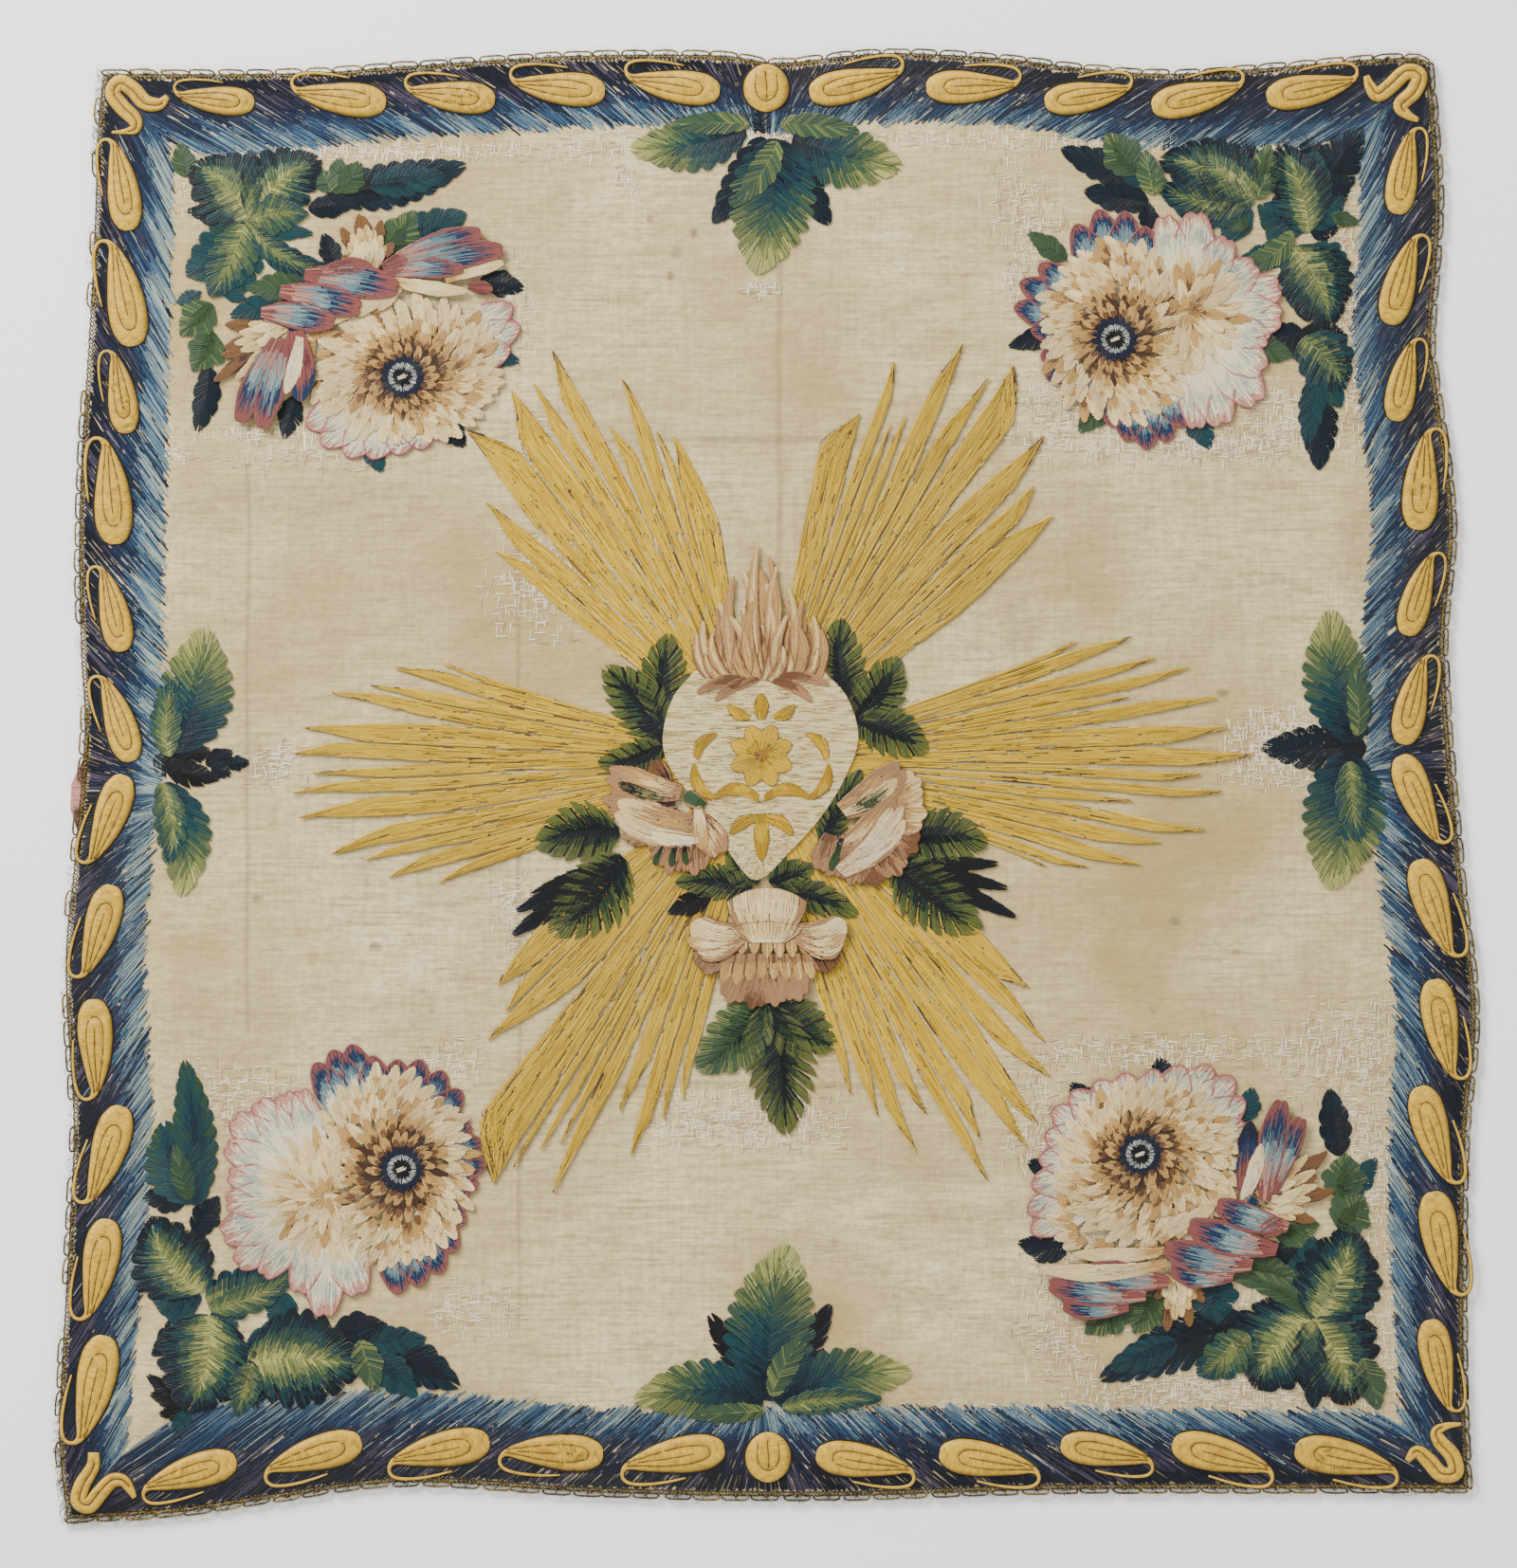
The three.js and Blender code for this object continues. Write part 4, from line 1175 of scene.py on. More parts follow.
for side_name, (px, py, wide, high) in BOSSES.items():
    centre = spot(px, py)
    angle = np.linspace(0.1, np.pi - 0.1, 24)
    stations = np.column_stack([
        np.full(24, centre[0]), centre[1] - high / 2 * MM * np.cos(angle),
        wide / 2 * MM * np.sin(angle), 1.9 * MM * (0.4 + 0.6 * np.sin(angle)),
    ])
    turn = np.linspace(np.pi * 0.95, np.pi * 2.05, 26)
    bend = centre + np.stack([4.4 * np.cos(turn), 5.6 * np.sin(turn) + 0.6], 1) * MM
    ends = centre + np.array([[-4.0, 5.6], [4.0, 5.6]]) * MM
    bend = np.vstack([ends[:1], bend, ends[1:]])
    middle = centre + np.column_stack([0.3 * np.sin(np.linspace(0, 5, 12)), np.linspace(-4.2, 6.5, 12)]) * MM
    padded_band("boss_" + side_name + "_silk", "boss_" + side_name, stations, [smooth_line(bend, 2), middle],
                side_cords[side_name], ends=True)

for corner, rows in SCROLLS.items():
    rows = np.array(rows, float)
    line = smooth_line(np.column_stack([spot(rows[:, 0], rows[:, 1]), rows[:, 2] / 2 * MM]), 6)
    stations = np.column_stack([line, 1.5 * MM * np.clip(line[:, 2] / (2.6 * MM), 0.45, 1)])
    seam = band_points(stations, np.array([0.12]))[4:-8, 0]
    cords = side_cords["top" if corner.startswith("top") else "bottom"]
    padded_band("scroll_" + corner + "_silk", "scroll_" + corner, stations, [seam], cords, ends=True)

for side_name, cords in side_cords.items():
    cords.make(CORD, "outline_cord")

# %% [markdown]
# ## Metal lace
# The lace is thread wrapped with gilt strip, now dull and partly black. A plaited chain lies beside
# the silk, and oblong loops with a small knot in each stand out from it. On the left it has frayed to
# grey fuzz. Each side is one mesh of swept threads.


# %% Lace material and sides
def lace_material():
    material, tree, shader, place = new_material("tarnished gilt thread", 0.42, metallic=0.45)
    wrap = noise_node(tree, place, 2400, 2.0, 0.5)
    black = noise_node(tree, place, 420, 4.0, 0.7)
    base = patched(tree, thread_colour(tree), black, 0.46, 0.66, tone(46, 40, 32))
    base = patched(tree, base, wrap, 0.55, 0.75, tone(214, 196, 140))
    tree.links.new(base, shader.inputs["Base Color"])
    tree.links.new(ramp_node(tree, black, -0.2, 1.2), shader.inputs["Roughness"])
    add_bump(tree, shader, wrap, 0.08 * MM, 0.8)
    return material


GILT, DULL, SILVER = tone(160, 134, 76), tone(96, 80, 50), tone(176, 168, 150)
LOOP_PITCH = {"top": 11.4 * MM, "bottom": 12.0 * MM, "right": 11.8 * MM, "left": 10.5 * MM}
LACE_Z = GROUND_UNDERSIDE + 0.55 * MM


def lace_side(name, material):
    threads = Cords("lace_threads_" + name, sides=3)
    ends = rim_place(name, np.array([0.0, 1.0]), 0.0)
    length = np.linalg.norm(ends[1] - ends[0])
    worn = name == "left"

    def lay(along, inset, height, radius, tint, closed=False):
        line = rim_place(name, np.clip(along, 0, 1), inset)
        threads.add(np.column_stack([line, LACE_Z + height]), radius, tint, closed)

    steps = round(length / (0.68 * MM))
    along = np.linspace(0, 1, steps)
    phase = along * length / (3.4 * MM) * 2 * np.pi
    for k in range(2):
        turn = phase + k * np.pi
        lay(along, (3.0 + 0.8 * np.sin(turn)) * MM, 0.32 * MM * np.cos(2 * turn), 0.34 * MM,
            GILT * 0.8 if k else DULL * 0.8)
    coarse = np.linspace(0, 1, steps // 3)
    lay(coarse, (4.1 + 0.1 * np.sin(coarse * 200)) * MM, 0.2 * MM + 0 * coarse, 0.25 * MM, DULL * 0.5)
    lay(coarse, (2.1 + 0.22 * np.sin(coarse * 900)) * MM, 0.1 * MM + 0 * coarse, 0.26 * MM, DULL * 0.6)
    loops = round(length / LOOP_PITCH[name])
    turn = np.linspace(0, 2 * np.pi, 16, endpoint=False)
    for k in range(loops):
        centre = (k + 0.5 + RNG.uniform(-0.06, 0.06)) / loops
        if worn and RNG.random() < 0.45:
            continue
        half = LOOP_PITCH[name] * RNG.uniform(0.42, 0.49) / length
        square = np.sign(np.cos(turn)) * np.abs(np.cos(turn)) ** 0.5
        level = np.sign(np.sin(turn)) * np.abs(np.sin(turn)) ** 0.8
        wide = RNG.uniform(1.2, 1.45)
        lay(centre + half * square + RNG.normal(0, 0.0002, 16),
            (1.65 + wide * level + RNG.normal(0, 0.05, 16)) * MM, 0.15 * MM * np.cos(3 * turn),
            0.5 * MM, GILT * 0.5 if RNG.random() < 0.5 else DULL * 0.7, closed=True)
        for _ in range(2):
            bend = np.cumsum(RNG.normal(0, 0.5 * MM, (9, 2)), axis=0)
            bend -= bend.mean(0)
            lay(centre + np.clip(bend[:, 0], -1.6 * MM, 1.6 * MM) / length + RNG.normal(0, 0.0006),
                1.75 * MM + np.clip(bend[:, 1], -0.9 * MM, 0.9 * MM),
                RNG.uniform(-0.3, 0.5, 9) * MM, 0.17 * MM, DULL * 0.45)
    for _ in range(460 if worn else 220):
        at = RNG.random()
        if RNG.random() < 0.4:
            at = RNG.choice([RNG.uniform(0, 0.06), RNG.uniform(0.94, 1)])
        bend = np.cumsum(RNG.normal(0, 0.7 * MM, (6, 2)), axis=0)
        reach = 1.7 if worn else 2.4
        depth = np.clip(reach * MM + RNG.normal(0, 0.9 * MM) + bend[:, 1], -0.6 * MM, 3.9 * MM)
        tint = SILVER if RNG.random() < (0.5 if worn else 0.15) else GILT * 0.5
        lay(at + bend[:, 0] / length, depth, RNG.uniform(-0.4, 0.7, 6) * MM, 0.11 * MM, tint)
    return threads.make(material, "metal_lace", ["lace_" + name])


LACE = lace_material()
for side_name in SIDES:
    lace_side(side_name, LACE)

# %% [markdown]
# ## Shapes for needle painting
# A leaf or a petal is described by its two ends and its width, in points of the picture. From these a
# small function gives its stitches their places: u runs along each stitch and v from stitch to stitch.

# %% Floss colours
BLACK, DARK_GREEN, DEEP = tone(14, 20, 26), tone(24, 48, 44), tone(18, 40, 56)
PETROL, TEAL, GREEN = tone(30, 62, 78), tone(44, 84, 90), tone(72, 94, 60)
LEAF_GREEN, LIME, PALE, MOSS = tone(84, 106, 80), tone(132, 138, 94), tone(176, 174, 122), tone(112, 118, 72)
CREAM, LIGHT, WHITE = tone(216, 194, 152), tone(226, 208, 170), tone(222, 211, 184)
TAN, BROWN_SILK, UMBER = tone(196, 161, 114), tone(142, 106, 76), tone(94, 68, 52)
ROSE, PINK, DEEP_ROSE = tone(156, 100, 94), tone(194, 150, 134), tone(130, 76, 76)
ROYAL, ICE, PALE_BLUE = tone(46, 70, 108), tone(126, 146, 150), tone(170, 178, 168)
MAUVE, DUSKY, PLUM = tone(176, 140, 108), tone(136, 98, 74), tone(72, 48, 42)
GOLD, GOLD_DEEP, GOLD_LIGHT = tone(204, 172, 96), tone(178, 145, 76), tone(214, 186, 112)
HEART_CREAM, HEART_SHADE = tone(216, 201, 162), tone(184, 166, 124)
OUTLINE = tone(96, 74, 46)
MOTIF_LIFT = 0.16 * MM
LEAF_TONES = {
    "black": [BLACK, BLACK, DEEP],
    "dark": [BLACK, DEEP, DEEP, PETROL],
    "teal": [DEEP, PETROL, TEAL, TEAL, GREEN],
    "green": [BLACK, DEEP, BLACK, DARK_GREEN, GREEN, MOSS, MOSS, MOSS],
    "lime": [DARK_GREEN, GREEN, LEAF_GREEN, LIME],
    "pale": [PALE, LIME, LEAF_GREEN, TEAL, PETROL],
    "fold": [PALE, LIME, LEAF_GREEN, TEAL, DEEP, DEEP],
    "spray": [DEEP, PETROL, TEAL, LEAF_GREEN, LIME, PALE],
}
# How much a leaf's colour follows the way from midrib to edge, how much the way from base to tip, and
# where it starts.
LEAF_TURN = {"spray": (0.4, 0.72, -0.12), "fold": (0.95, 0.1, -0.05), "pale": (0.8, 0.12, 0.0)}


# %% Leaves and petals
def axis_of(base, tip):
    start, end = spot(*base), spot(*tip)
    long = np.linalg.norm(end - start)
    run = (end - start) / long
    return start, run, np.array([-run[1], run[0]]), long


LEAF_FULLNESS = 1.15


def leaf(floss, x0, y0, x1, y1, wide, bend, kind, lift=0.0):
    """A toothed leaf in two halves, with slanted stitches from its midrib to its edge."""
    start, run, side, long = axis_of((x0, y0), (x1, y1))
    half = LEAF_FULLNESS * wide / 2 * METRES_PER_PIXEL
    bow = bend * METRES_PER_PIXEL
    pointed = kind in ("green", "black")
    teeth = max(3, round(long / ((5.4 if pointed else 6.2) * MM)))

    def midrib(v):
        v = np.asarray(v)[..., None]
        return start + run * long * v + side * bow * 4 * v * (1 - v)

    def reach(v):
        swell = np.sin(np.pi * np.clip(v, 0, 1) ** 0.8) ** (0.7 if long > 24 * MM else 1.0)
        if pointed:
            return half * swell * (0.88 + 0.24 * ((v * teeth) % 1)) + 0.4 * MM
        return half * swell * (0.82 + 0.28 * np.abs(np.sin(np.pi * v * teeth)) ** 0.6) + 0.4 * MM

    for hand in (1, -1):
        def place(u, v, hand=hand):
            u, v = np.broadcast_arrays(u, v)
            foot = np.clip(v - 0.2 * (1 - u) * (0.35 + v), 0, 1)
            return midrib(foot) + side * (hand * u * reach(v))[..., None]

        def shades(u, v):
            by_u, by_v, first = LEAF_TURN.get(kind, (0.9, 0.12, 0.0))
            gap = ((v * teeth) % 1 < 0.14) & (u > 0.5) & pointed
            return shade_by(LEAF_TONES[kind], first + by_u * u + by_v * v - 0.5 * gap, 0.07)

        count = max(1, round(math.hypot(half, 0.16 * long) / (4.6 * MM)))
        lay_rows(floss, place, even_bands(count, 0.35), shades, 0.54 * MM, 0.92 * MM, MOTIF_LIFT + lift)
    vein = midrib(np.linspace(0.02, 0.86, 7))
    dark = PALE if kind in ("fold", "pale") else BLACK
    floss.add(vein[:-1], vein[1:], np.array([dark] * 6), 0.5 * MM, MOTIF_LIFT + lift + 0.12 * MM)


def petal_place(root, tip, wide, narrow=0.3, rounding=0.28, bend=0.0, notch=0.0, lobes=1):
    """The places of a petal whose stitches run from its root to its rounded tip."""
    start, run, side, long = axis_of(root, tip)
    half = wide / 2 * METRES_PER_PIXEL
    bow = bend * METRES_PER_PIXEL

    def place(u, v):
        u, v = np.broadcast_arrays(np.asarray(u, float), np.asarray(v, float))
        across = 2 * v - 1
        scallop = 1 - rounding * across ** 2 - notch * (1 - np.abs(np.sin(np.pi * lobes * v)))
        along = u * scallop
        swell = narrow + (1 - narrow) * np.sin(np.pi / 2 * np.clip(along / 0.72, 0, 1))
        lean = bow * 4 * along * (1 - along)
        return start + (run * long * along[..., None]
                        + side * (half * swell * across + lean)[..., None])

    return place, long


def petal(floss, root, tip, wide, tones, by=(1.0, 0.0, 0.0), blur=0.05, lift=0.0, length=5.5, pitch=0.6,
          edge=None, bands=None, **shape):
    """A petal in long and short stitches. by says how its colour follows u, v and the distance from
    its middle line, and edge gives its outer stitches a colour of their own."""
    place, long = petal_place(root, tip, wide, **shape)

    def shades(u, v):
        at = by[0] * u + by[1] * v + by[2] * np.abs(2 * v - 1)
        picked = shade_by(tones, at, blur)
        if edge is not None:
            rim = (np.abs(2 * v - 1) > 0.8) & (RNG.random(np.shape(v)) < 0.8)
            picked = np.where(rim[:, None], edge, picked)
        return picked

    bands = bands or even_bands(max(1, round(long / (length * MM))))
    lay_rows(floss, place, bands, shades, pitch * MM, 0.82 * MM, MOTIF_LIFT + lift)


def outline(floss, place, tint, lift=0.0, steps=14, width=0.4, tip_tint=None, tip_width=1.0):
    """Thin stitches round a patch: up one side, round its end and down the other."""
    u, v = np.linspace(0, 1, steps), np.linspace(0, 1, steps)
    first, last = np.zeros(steps), np.ones(steps)
    if tip_tint is not None:
        for side in (place(u * 0.9, first), place(u * 0.9, last)):
            floss.add(side[:-2:2], side[2::2], np.array([tint] * (steps // 2 - 1)), width * MM,
                      MOTIF_LIFT + lift + 0.1 * MM)
        rim = place(last, v)
        floss.add(rim[:-1], rim[1:], np.array([tip_tint] * (steps - 1)), tip_width * MM,
                  MOTIF_LIFT + lift + 0.14 * MM)
        return
    path = np.vstack([place(u, first), place(last, v), place(u[::-1], last)])
    floss.add(path[:-1], path[1:], np.array([tint] * (len(path) - 1)), width * MM,
              MOTIF_LIFT + lift + 0.1 * MM)


# %% [markdown]
# ## Gold rays
# The rays are thin wedges of gold floss that spread from behind the heart. Bare silk shows in the slits
# between them, and each ends in a worn brown point.

# %% The ray tips, as points of the picture
RAY_MIDDLE = (800, 802)
RAYS = {
    "upper_left": [(500, 460), (520, 535), (530, 585), (546, 419), (569, 412), (588, 379), (648, 458),
                   (660, 409), (697, 463), (714, 467)],
    "upper_right": [(906, 444), (937, 455), (941, 391), (953, 446), (1011, 372), (1039, 407),
                    (1064, 395), (1096, 467), (1085, 519), (1104, 549)],
    "left": [(475, 701), (425, 706), (400, 724), (360, 731), (332, 768), (321, 794), (340, 815),
             (318, 834), (326, 861), (358, 897), (393, 904), (418, 922), (470, 927)],
    "right": [(1129, 680), (1185, 675), (1210, 697), (1245, 706), (1183, 738), (1273, 739),
              (1285, 768), (1310, 797), (1256, 818), (1278, 836), (1186, 845), (1260, 875), (1215, 887),
              (1194, 910), (1139, 913), (1096, 913)],
    "lower_left": [(530, 1034), (539, 1060), (519, 1090), (525, 1238), (546, 1222), (574, 1204),
                   (587, 1248), (594, 1197), (656, 1164), (666, 1210), (700, 1172), (721, 1151)],
    "lower_right": [(894, 1146), (922, 1169), (972, 1167), (961, 1206), (1027, 1192), (1036, 1236),
                    (1075, 1202), (1099, 1128), (1087, 1178), (1094, 1092), (1078, 1036)],
}
# The bearing of each group's two sides from the middle, in degrees, anticlockwise from the right.
RAY_SPAN = {
    "upper_left": (99, 143), "upper_right": (36, 79), "left": (163, 202), "right": (-20, 20),
    "lower_left": (215, 259), "lower_right": (-76, -36),
}
RAY_TONES = [GOLD, GOLD, GOLD_LIGHT, GOLD, GOLD_DEEP, GOLD]
RAY_EDGE = tone(126, 102, 64)


def ray_group(floss, name):
    """The wedges of one bundle, side by side within its span."""
    low, high = (math.radians(angle) for angle in RAY_SPAN[name])
    middle = spot(*RAY_MIDDLE)
    tips = spot(*np.array(RAYS[name]).T) - middle
    bearing = np.arctan2(tips[:, 1], tips[:, 0])
    bearing = (bearing - low + np.pi) % (2 * np.pi) + low - np.pi
    order = np.argsort(bearing)
    bearing, reach = bearing[order], np.linalg.norm(tips, axis=1)[order]
    edges = np.concatenate([[low], (bearing[1:] + bearing[:-1]) / 2, [high]])
    for k, (angle, long) in enumerate(zip(bearing, reach)):
        slit_low, slit_high = RNG.uniform(0.15, 0.7, 2) * MM
        cut_low, cut_high = RNG.permutation([RNG.uniform(0.07, 0.14), RNG.uniform(0.24, 0.36)])

        def place(u, v, k=k, angle=angle, long=long, slit_low=slit_low, slit_high=slit_high,
                  cut_low=cut_low, cut_high=cut_high):
            u, v = np.broadcast_arrays(np.asarray(u, float), np.asarray(v, float))
            far = long * u
            opening = np.clip((far - 42 * MM) / (30 * MM), 0, 1)
            shut_low = np.clip((1 - u) / cut_low, 0, 1) ** 0.8
            shut_high = np.clip((1 - u) / cut_high, 0, 1) ** 0.8
            right = angle + (edges[k] - angle) * shut_low + slit_low * opening / np.maximum(far, 1e-3)
            left = angle + (edges[k + 1] - angle) * shut_high - slit_high * opening / np.maximum(far, 1e-3)
            ragged = 1 + 0.02 * np.sin(v * 19) * (1 - np.minimum(shut_low, shut_high))
            turn = (right + (np.maximum(left, right) - right) * v) * 1.0
            return middle + np.stack([np.cos(turn), np.sin(turn)], -1) * (far * ragged)[..., None]

        def shades(u, v):
            tints = shade_by(RAY_TONES, RNG.random(np.shape(u)), 0)
            dark = RNG.random(np.shape(u)) < np.where(u > 0.965, 0.4, 0.012)
            return np.where(dark[:, None], UMBER * 1.3, tints)

        start = 0.16
        stretch = [(start + (1 - start) * a, start + (1 - start) * b)
                   for a, b in even_bands(max(3, round(long / (7.6 * MM))), 0.35)]
        lay_rows(floss, place, stretch, shades, 0.62 * MM, 0.88 * MM, 0.1 * MM, ragged=0.04)
        for edge in (0.0, 1.0):
            along = np.linspace(0.3, 1, 26)
            line = place(along, np.full(26, edge))
            kept = RNG.random(25) < 0.82
            floss.add(line[:-1][kept], line[1:][kept], np.array([RAY_EDGE] * int(kept.sum())), 0.3 * MM,
                      0.2 * MM)


RAY_PIECES = {"rays_upper": ("upper_left", "upper_right", "left"),
              "rays_lower": ("lower_left", "lower_right", "right")}
for piece_name, group_names in RAY_PIECES.items():
    ray_floss = Floss(piece_name)
    for group_name in group_names:
        ray_group(ray_floss, group_name)
    ray_floss.make(FLOSS)

# %% [markdown]
# ## The heart and its flames
# The heart is filled with short level stitches of cream silk. In the middle lies a plain gold
# ornament of curled sprigs and a small flower. The flames are wavy tongues with pink-brown edges.

# %% Heart, ornament and flames
HEART_OUTLINE = [(733, 708), (709, 738), (699, 780), (708, 812), (735, 847), (765, 893), (797, 928),
                 (835, 896), (870, 856), (895, 812), (905, 775), (893, 735), (868, 708)]
heart_floss = Floss("heart_and_flames")


def heart_fill(floss):
    """Level stitches between the heart's left and right outlines."""
    line = spot(*smooth_line(HEART_OUTLINE, 8).T)
    lowest = int(np.argmin(line[:, 1]))
    left, right = line[:lowest + 1][::-1], line[lowest:]
    low, high = line[lowest, 1], line[:, 1].max()

    def place(u, v):
        u, v = np.broadcast_arrays(np.asarray(u, float), np.asarray(v, float))
        height = low + (high - low) * v
        start = np.interp(height, left[:, 1], left[:, 0])
        end = np.interp(height, right[:, 1], right[:, 0])
        return np.stack([start + (end - start) * u, height], -1)

    def shades(u, v):
        return shade_by([HEART_CREAM] * 5 + [LIGHT] * 2 + [HEART_SHADE] * 3,
                        RNG.random(np.shape(u)), 0)

    lay_rows(floss, place, even_bands(22, 0.4), shades, 0.6 * MM, 0.85 * MM, MOTIF_LIFT + 0.85 * MM,
             ragged=0.02, climb=0.002 * MM)


heart_fill(heart_floss)
# Gold pieces on the heart: root, tip, width and bow, in points of the picture.
SPRIGS = [
    (803, 858, 803, 908, 17, 0), (799, 862, 770, 880, 14, -4), (807, 862, 836, 880, 14, 4),
    (800, 842, 752, 842, 14, -10), (806, 842, 854, 842, 14, 10), (752, 842, 732, 806, 13, 7),
    (854, 842, 874, 806, 13, -7), (734, 800, 756, 774, 12, 6), (872, 800, 850, 774, 12, -6),
    (803, 758, 803, 732, 16, 0), (790, 757, 768, 744, 13, 3), (816, 757, 838, 744, 13, -3),
]
ROSETTE = (803, 797)
for x0, y0, x1, y1, wide, bow in SPRIGS:
    petal(heart_floss, (x0, y0), (x1, y1), wide, [GOLD_DEEP, GOLD, GOLD_DEEP], lift=1.3 * MM, bend=bow,
          narrow=0.5, rounding=0.5)
    place, _ = petal_place((x0, y0), (x1, y1), wide, 0.5, 0.5, bow)
    outline(heart_floss, place, OUTLINE * 1.4, 1.3 * MM)
for turn in np.arange(8) * 45 + 22.5:
    far = np.array([math.cos(math.radians(turn)), math.sin(math.radians(turn))])
    root, tip = np.array(ROSETTE) + 6 * far, np.array(ROSETTE) + 34 * far
    petal(heart_floss, root, tip, 20, [GOLD_DEEP, GOLD, GOLD], lift=1.3 * MM, narrow=0.35, rounding=0.4)
    place, _ = petal_place(root, tip, 20, 0.35, 0.4)
    outline(heart_floss, place, OUTLINE * 1.4, 1.3 * MM)
for turn in np.arange(8) * 45:
    far = np.array([math.cos(math.radians(turn)), math.sin(math.radians(turn))])
    petal(heart_floss, np.array(ROSETTE), np.array(ROSETTE) + 8 * far, 6, [GOLD_DEEP, BROWN_SILK],
          lift=1.5 * MM)

# Flame tongues: root, tip, width, bow.
FLAME_EDGE = tone(146, 102, 72)
FLAMES = [
    (757, 712, 742, 655, 20, 7), (765, 712, 758, 636, 22, -8), (776, 712, 774, 608, 20, 8),
    (790, 712, 783, 600, 18, -9), (802, 712, 799, 574, 20, 7), (810, 712, 811, 587, 18, -8),
    (822, 712, 819, 598, 18, 9), (832, 712, 832, 620, 18, -7), (846, 712, 847, 633, 18, 7),
    (854, 712, 858, 650, 18, -6), (748, 714, 735, 668, 16, 6), (862, 714, 866, 664, 16, -5),
    (770, 716, 751, 668, 18, 8), (786, 716, 770, 650, 20, -9), (800, 718, 794, 634, 22, 9),
    (806, 718, 812, 640, 18, -8), (822, 716, 830, 650, 20, 8), (838, 716, 842, 660, 18, -8),
    (760, 716, 744, 690, 14, 5), (848, 716, 862, 684, 14, -5), (792, 718, 776, 680, 16, 6),
    (812, 718, 826, 682, 16, -6),
]
for x0, y0, x1, y1, wide in [(772, 716, 762, 638, 34), (802, 716, 801, 600, 44), (836, 716, 842, 638, 36)]:
    petal(heart_floss, (x0, y0), (x1, y1), wide, [TAN, MAUVE, DUSKY], by=(0.1, 0.0, 0.8), blur=0.2,
          lift=0.35 * MM, narrow=0.8, rounding=0.75)
# Each tongue has a smaller one beside it.
FLAMES = [(x0 + 7, y0 - 2, x0 + 8 + (x1 - x0) * 0.8, y0 + (y1 - y0) * 0.7, wide, -bow)
          for x0, y0, x1, y1, wide, bow in FLAMES] + FLAMES
for index, (x0, y0, x1, y1, wide, bow) in enumerate(FLAMES):
    wide = wide * 0.78
    tones = [CREAM, TAN, MAUVE, DUSKY] if index % 3 else [TAN, MAUVE, TAN, DUSKY]
    petal(heart_floss, (x0, y0), (x1, y1), wide, tones, by=(0.1, 0.0, 0.85), blur=0.1, bend=bow,
          lift=0.5 * MM + 0.02 * MM * index, narrow=0.7, rounding=0.75, pitch=0.6)
    place, _ = petal_place((x0, y0), (x1, y1), wide, 0.7, 0.75, bow)
    outline(heart_floss, place, FLAME_EDGE, 0.54 * MM + 0.02 * MM * index, 10, 0.7)
SPILLS = [(787, 716, 735, 731, 15, -5), (792, 718, 754, 739, 14, -4), (815, 718, 856, 740, 15, 5),
          (822, 714, 874, 722, 14, 4), (800, 716, 777, 728, 10, -2)]
for x0, y0, x1, y1, wide, bow in SPILLS:
    petal(heart_floss, (x0, y0), (x1, y1), wide, [DUSKY, DUSKY, MAUVE], lift=1.4 * MM, bend=bow,
          rounding=0.7, narrow=0.3)
heart_floss.make(FLOSS)

# %% [markdown]
# ## Roses and leaves round the heart
# Three roses seen from the side carry pale petals over ruffled dark ones. Their leaves are black at
# the midrib and yellow-green at the teeth.

# %% Leaves round the heart: base, tip, width, bow, kind
HEART_LEAVES = [
    (890, 762, 893, 712, 30, 0, "black"), (700, 762, 706, 668, 44, 4, "green"),
    (697, 778, 637, 703, 48, -5, "green"), (698, 788, 631, 805, 32, 6, "green"),
    (893, 738, 886, 652, 44, 5, "green"), (905, 757, 948, 693, 44, -4, "green"),
    (905, 760, 979, 793, 42, 4, "green"), (640, 918, 541, 986, 18, 0, "black"),
    (640, 914, 545, 961, 14, 0, "black"), (640, 912, 560, 944, 12, 0, "black"),
    (652, 877, 563, 891, 50, -6, "green"), (657, 905, 580, 986, 60, 8, "green"),
    (962, 912, 1053, 911, 12, 0, "black"), (962, 914, 1063, 937, 12, 0, "black"),
    (962, 916, 1071, 967, 14, 0, "black"), (957, 884, 1042, 890, 46, 6, "green"),
    (944, 908, 1035, 983, 54, -6, "green"), (800, 930, 766, 899, 32, 2, "green"),
    (792, 936, 713, 930, 30, -3, "green"), (750, 944, 704, 963, 20, 0, "black"),
    (812, 930, 860, 912, 30, -2, "green"), (822, 936, 905, 965, 28, 3, "green"),
    (806, 1056, 735, 1130, 52, 6, "lime"), (811, 1056, 882, 1105, 52, -6, "green"),
    (809, 1060, 829, 1197, 60, 5, "green"), (868, 892, 908, 812, 26, 3, "green"),
    (876, 908, 870, 866, 16, 0, "dark"), (734, 844, 776, 898, 11, -3, "black"),
    (700, 770, 690, 806, 18, 0, "black"), (884, 720, 905, 762, 16, 0, "black"),
]
ROSE_EDGE = tone(124, 88, 62)
ROSE_DARK = [PLUM, PLUM, DUSKY, MAUVE]
